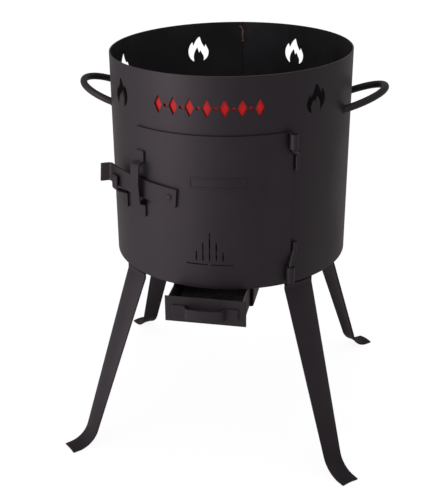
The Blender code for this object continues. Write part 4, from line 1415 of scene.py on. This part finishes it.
@dataclass
class HingePins:
    """The two cranked pins on the drum that carry the door.

    A mouth is a pin's node, its sleeve's open end, the way into the sleeve, the crank's height and the
    weld's length.
    """

    bar: dict[str, float] = field(default_factory=lambda: {"Radius": 0.003, "Sides": 24})
    bend: float = 0.005
    neck: float = 0.0035
    reach: float = 0.017
    mouths: tuple[tuple[str, float, int, float, float], ...] = (
        ("hinge_pin_top", 0.4665, 1, 0.006, 0.023), ("hinge_pin_bottom", 0.2983, -1, 0.018, 0.012))
    weld_radius: float = 0.1733
    weld_angle: float = 39.580
    weld_side: float = 0.0024
    weld_sunk: float = 0.0029
    weld_inset: float = 0.002

    def build(self) -> None:
        """Make each pin as one smooth cranked bar."""
        for node, mouth, inward, joggle, weld_length in self.mouths:
            neck = mouth - inward * self.neck
            landing = neck - inward * joggle
            corners = [
                drum_point(HINGE_ANGLE, HINGE_RADIUS, mouth + inward * self.reach),
                drum_point(HINGE_ANGLE, HINGE_RADIUS, neck),
                drum_point(self.weld_angle, self.weld_radius, landing),
                drum_point(self.weld_angle, self.weld_radius, landing - inward * weld_length)]
            BAR.dress(node, rounded(corners, self.bend), self.bar)

    def weld_lines(self) -> list[Line]:
        """Give the welds along the pins' lower legs, on the side away from the door.

        Returns:
            The lines, on the drum.
        """
        lines = []
        angle = self.weld_angle + math.degrees(self.weld_side / self.weld_radius)
        out = self.weld_radius - self.weld_sunk
        for _, mouth, inward, joggle, weld_length in self.mouths:
            landing = mouth - inward * (self.neck + joggle)
            near, far = landing - inward * self.weld_inset, landing - inward * weld_length
            lines.append(upright_line(angle, out, near, far))
        return lines


@dataclass
class Latch:
    """The drop latch: its lever and rivet, and the catch on the drum."""

    lever_rounding: float = 0.0006
    rivet_rounding: float = 0.0003
    catch_rounding: float = 0.0005
    catch_angle: float = -49.79
    foot_weld_z: float = 0.3618
    foot_weld_half_length: float = 0.0065
    side_weld: float = -0.0081
    side_weld_span: Span = (0.3630, 0.3810)

    def build(self) -> None:
        """Make the lever, the rivet and the catch."""
        coated("latch_lever", Body.LATCH, LEVER_PAINT, self.lever_rounding)
        coated("latch_rivet", Body.DOOR, ROD_PAINT, self.rivet_rounding)
        coated("latch_catch", Body.STOVE, OUTSIDE_PAINT, self.catch_rounding)

    def weld_lines(self) -> list[Line]:
        """Give the welds round the catch's foot.

        Returns:
            The lines, on the drum.
        """
        out = DRUM_RADIUS + WELD_OUT
        return [
            level_line(self.catch_angle, out, self.foot_weld_z, self.foot_weld_half_length),
            upright_line(self.catch_angle, out, *self.side_weld_span, self.side_weld)]


@dataclass
class AshDrawer:
    """The ash drawer: tray, front and pull, and the rails that carry it."""

    turn: float = -0.7
    tray_rounding: float = 0.0004
    front_rounding: float = 0.0003
    front_y: float = -0.197
    pull_half_length: float = 0.0455
    pull_z: Span = (0.2391, 0.2546)
    pull_strip: float = 0.0025
    pull_gap: float = 0.0003
    pull_foot: float = 0.0165
    pull_shoulder: Span = (0.0045, 0.0095)
    pull_out: float = 0.01195
    pull_bend: float = 0.0032
    pull_rounding: float = 0.0005
    grip_steps: int = 12
    grip_start: int = 3
    pull_weld_side: float = 0.0458
    pull_weld_span: Span = (0.2411, 0.2526)
    tray_weld_side: float = 0.0512
    tray_weld_span: Span = (0.2338, 0.2645)
    tray_weld_y: float = 0.0091
    rail_weld_side: float = 0.0577
    rail_weld_z: float = 0.2695
    rail_stitches: tuple[float, ...] = (-0.120, -0.040, 0.040)
    stitch_length: float = 0.014

    def build(self) -> None:
        """Make the tray, its front, the pull and the rails."""
        coated("ash_tray", Body.DRAWER, TRAY_PAINT, self.tray_rounding)
        coated("drawer_front", Body.DRAWER, DRAWER_PAINT, self.front_rounding)
        self.build_pull()
        for node in ("drawer_rail_right", "drawer_rail_left"):
            coated(node, Body.STOVE, OUTSIDE_PAINT, self.tray_rounding)

    def pull_path(self) -> list[Vector]:
        """Lay the pull's middle line, whose grip is a smooth arc.

        Returns:
            The line's points, level, with the drawer's front at y = 0.
        """
        foot = self.pull_strip / 2 + self.pull_gap
        inner = self.pull_half_length - self.pull_foot
        shoulder = inner - self.pull_shoulder[0]
        rise = self.pull_out - self.pull_shoulder[1]
        steps = self.grip_steps
        grip = [
            Vector((shoulder * share, foot + self.pull_out - rise * share ** 2, 0.0))
            for share in (step / steps for step in range(steps, -steps - 1, -1))]
        end = rounded([
            Vector((self.pull_half_length, foot, 0.0)), Vector((inner, foot, 0.0)), grip[0],
            grip[self.grip_start]], self.pull_bend)[:-1]
        return end + grip[1:-1] + [Vector((-spot.x, spot.y, 0.0)) for spot in reversed(end)]

    def build_pull(self) -> None:
        """Make the pull as one bent strip along its path."""
        path = self.pull_path()
        low, high = self.pull_z
        bm = bmesh.new()
        rings = []
        for before, spot, after in zip([path[0]] + path, path, path[1:] + [path[-1]]):
            ahead = (after - before).normalized()
            out = Vector((ahead.y, -ahead.x, 0.0)) * (self.pull_strip / 2)
            rings.append([
                bm.verts.new(drum_point(self.turn, face.y - self.front_y, level, face.x))
                for face, level in (
                    (spot - out, low), (spot + out, low), (spot + out, high), (spot - out, high))])
        for first, second in zip(rings, rings[1:]):
            for index in range(4):
                bm.faces.new([first[index], first[index - 1], second[index - 1], second[index]])
        bm.faces.new(rings[0])
        bm.faces.new(rings[-1][::-1])
        bmesh.ops.recalc_face_normals(bm, faces=bm.faces)
        pull = object_from(bm, "drawer_pull_strip")
        soften(pull, self.pull_rounding)
        present(pull, Body.DRAWER, DRAWER_PAINT, ["drawer_pull"])

    def weld_lines(self) -> list[Line]:
        """Give the welds at the pull's ends and up the tray's back corners.

        Returns:
            The lines, on the drawer.
        """
        welds = (
            (WELD_OUT - self.front_y, self.pull_weld_span, self.pull_weld_side),
            (-self.tray_weld_y, self.tray_weld_span, self.tray_weld_side))
        return [
            upright_line(self.turn, out, *span, side * reach)
            for out, span, reach in welds for side in (-1, 1)]

    def rail_weld_lines(self) -> list[Line]:
        """Give the stitch welds that hold the rails under the drum's floor.

        Returns:
            The lines, on the stove.
        """
        return [
            Line([
                drum_point(self.turn, -end, self.rail_weld_z, side * self.rail_weld_side)
                for end in (y, y + self.stitch_length)])
            for side in (-1, 1) for y in self.rail_stitches]


@dataclass
class Grate:
    """The loose fire grate on the drum's floor."""

    sizes: dict[str, float] = field(default_factory=lambda: {
        "Width": 0.114, "Length": 0.154, "Corner": 0.008, "Hole Width": 0.086, "Hole Length": 0.126,
        "Thickness": 0.004, "Bars": 6, "Bar Width": 0.0055, "Foot": 0.2723})
    rounding: float = 0.0007

    def build(self) -> None:
        """Make the grate from its sizes."""
        start = bpy.data.meshes.new("grate_start")
        grate = GRATE.make("fire_grate_casting", start, CAST_IRON, self.sizes, self.rounding)
        present(grate, Body.GRATE, None, ["fire_grate"])


@dataclass
class Welds:
    """The painted weld beads, one piece for each body."""

    values: dict[str, float] = field(default_factory=lambda: {
        "Radius": 0.0009, "Pitch": 0.0020, "Ripple": 0.12, "Unevenness": 0.4, "Seed": 7.0})

    def build(self, name: str, body: Body, lines: Sequence[Line]) -> None:
        """Lay the beads of one body.

        Args:
            name: the piece's name.
            body: the body.
            lines: the lines that they follow.
        """
        beads = WELD.make(name, line_mesh(name, lines), WELD_PAINT, self.values)
        present(beads, body)


# Studio


@dataclass
class Studio:
    """Camera, lamp, white surroundings and floor."""

    lens: float = 70.259
    sensor: float = 36.0
    shift: Span = (0.12, 0.03)
    clip: Span = (0.01, 200.0)
    distance: float = 1.3683
    height: float = 0.8697
    azimuth: float = 9.209
    pitch: float = 25.123
    yaw: float = -4.415
    roll: float = -1.845
    sky: float = 0.95
    dim_level: float = 0.308
    lit_level: float = 0.92
    lit_side: float = -102.0
    lit_middle: float = -22.0
    lit_softness: float = 0.12
    lit_span: Span = (0.45, 1.30)
    lit_gains: Span = (0.80, 1.25)
    floor_size: float = 60.0
    floor_colour: Colour = (0.93, 0.93, 0.93)
    glow_share: float = 0.89
    glow: float = 1.03
    lamp_azimuth: float = -45.0
    lamp_elevation: float = 8.0
    lamp_distance: float = 1.9
    lamp_aim: Triple = (0.0, 0.0, 0.35)
    lamp_size: Span = (0.9, 1.0)
    lamp_power: float = 7.0
    lamp_colour: Colour = (1.0, 0.985, 0.97)

    def build(self) -> None:
        """Set up the whole studio."""
        self.build_camera()
        self.build_world()
        self.build_floor()
        self.add_lamp()
        bpy.context.scene.view_settings.view_transform = "Standard"

    def build_camera(self) -> None:
        """Stand the camera where the photograph was taken from."""
        pitch, yaw, roll = (math.radians(angle) for angle in (self.pitch, self.yaw, self.roll))
        ahead = Vector((math.sin(yaw) * math.cos(pitch), math.cos(yaw) * math.cos(pitch), -math.sin(pitch)))
        level = Vector((math.cos(yaw), -math.sin(yaw), 0.0))
        upright = level.cross(ahead)
        right = level * math.cos(roll) + upright * math.sin(roll)
        up = upright * math.cos(roll) - level * math.sin(roll)
        turn = Matrix.Rotation(math.radians(self.azimuth), 3, "Z")
        data = bpy.data.cameras.new("camera")
        data.lens = self.lens
        data.sensor_width = self.sensor
        data.shift_x, data.shift_y = self.shift
        data.clip_start, data.clip_end = self.clip
        camera = bpy.data.objects.new("camera", data)
        place = Matrix([turn @ axis for axis in (right, up, -ahead)]).transposed().to_4x4()
        place.translation = drum_point(self.azimuth, self.distance, self.height)
        camera.matrix_world = place
        bpy.context.scene.collection.objects.link(camera)
        bpy.context.scene.camera = camera

    def room_level(self, name: str) -> Tree:
        """Build how bright reflections see the surroundings by direction, brighter on the lit side.

        Args:
            name: the group's name.

        Returns:
            The group's tree.
        """
        board, given, out = node_group(
            "ShaderNodeTree", name, {"Direction": "Vector", "Gain": "Float"}, numbers("Level"))
        inputs = {0: given["Direction"], 1: (1.0, 1.0, 0.0)}
        flat = board.add("ShaderNodeVectorMath", inputs, operation="MULTIPLY").outputs[0]
        flat = board.add("ShaderNodeVectorMath", {0: flat}, operation="NORMALIZE").outputs[0]
        beside, toward = (
            board.dot(flat, tuple(drum_point(angle, 1.0, 0.0)))
            for angle in (self.lit_side, self.lit_middle))
        lit = board.times(
            board.ramp(beside, -self.lit_softness, self.lit_softness), board.math("MAXIMUM", toward, 0.0))
        top = board.times(given["Gain"], self.lit_level)
        board.feed(out["Level"], board.ramp(lit, 0.0, 1.0, self.dim_level, top))
        return board.tree

    def surroundings(self, board: Board, place: Socket, gain: Value) -> tuple[Socket, Socket]:
        """Give how bright the white surroundings look, full to the camera, and which rays see them.

        Args:
            board: the board of the world or the floor.
            place: the direction or the place that is looked at.
            gain: the brightness of the lit side.

        Returns:
            The level's socket, and a mask of the rays that see it.
        """
        level = Effects.place(board, self.room_level, {"Direction": place, "Gain": gain})
        rays = board.add("ShaderNodeLightPath").outputs
        shown = board.math("MAXIMUM", rays["Is Camera Ray"], rays["Is Transmission Ray"])
        seen = board.math("MAXIMUM", rays["Is Glossy Ray"], shown)
        return board.math("MAXIMUM", level.outputs["Level"], shown), seen

    def build_world(self) -> None:
        """Surround the stove with white that lights it at a plain level."""
        world = bpy.data.worlds.new("white_room")
        bpy.context.scene.world = world
        board = clean_board(world)
        place = board.add("ShaderNodeTexCoord").outputs["Generated"]
        level, seen = self.surroundings(board, place, self.lit_gains[1])
        strength = board.ramp(seen, 0.0, 1.0, self.sky, level)
        ground = board.add("ShaderNodeBackground", {"Color": WHITE, "Strength": strength})
        board.feed(board.add("ShaderNodeOutputWorld").inputs["Surface"], ground.outputs["Background"])

    def build_floor(self) -> None:
        """Lay a white floor that keeps the stove's soft shadow."""
        bm = bmesh.new()
        bmesh.ops.create_grid(bm, x_segments=1, y_segments=1, size=self.floor_size / 2)
        floor = object_from(bm, "floor")
        material = bpy.data.materials.new("white_floor")
        board = clean_board(material)
        matt = board.add("ShaderNodeBsdfDiffuse", {"Color": self.floor_colour})
        place = board.object_place()
        away = board.add("ShaderNodeVectorMath", {0: place}, operation="LENGTH").outputs["Value"]
        level, seen = self.surroundings(board, place, board.ramp(away, *self.lit_span, *self.lit_gains))
        glow = board.add("ShaderNodeEmission", {"Color": WHITE, "Strength": board.times(level, self.glow)})
        mixed = board.add("ShaderNodeMixShader", {
            0: board.times(seen, self.glow_share), 1: matt.outputs["BSDF"], 2: glow.outputs["Emission"]})
        board.feed(board.add("ShaderNodeOutputMaterial").inputs["Surface"], mixed.outputs["Shader"])
        floor.data.materials.append(material)

    def add_lamp(self) -> None:
        """Hang a soft rectangular lamp on the left that faces the stove."""
        data = bpy.data.lights.new("key_left", "AREA")
        data.shape = "RECTANGLE"
        data.size, data.size_y = self.lamp_size
        data.energy = self.lamp_power
        data.color = self.lamp_colour
        lamp = bpy.data.objects.new("key_left", data)
        rise = math.radians(self.lamp_elevation)
        away = drum_point(self.lamp_azimuth, math.cos(rise), math.sin(rise))
        lamp.location = Vector(self.lamp_aim) + away * self.lamp_distance
        lamp.rotation_euler = away.to_track_quat("Z", "Y").to_euler()
        bpy.context.scene.collection.objects.link(lamp)


WELD, BAR, GRATE = WeldBead(), RoundBar(), GrateCasting()


def main() -> None:
    """Build every sub-assembly, then the studio."""
    logging.basicConfig(level=logging.INFO, format="%(name)s: %(message)s")
    drum, legs, handles = Drum(), Legs(), Handles()
    door, pins, latch, drawer = FireDoor(), HingePins(), Latch(), AshDrawer()
    for assembly in (drum, legs, handles, door, pins, latch, drawer, Grate()):
        assembly.build()
    fixed = [line for part in (handles, pins, latch, legs) for line in part.weld_lines()]
    welds = Welds()
    welds.build("stove_welds", Body.STOVE, fixed + drawer.rail_weld_lines())
    welds.build("door_welds", Body.DOOR, door.weld_lines())
    welds.build("drawer_welds", Body.DRAWER, drawer.weld_lines())
    Studio().build()


if __name__ == "__main__":
    main()
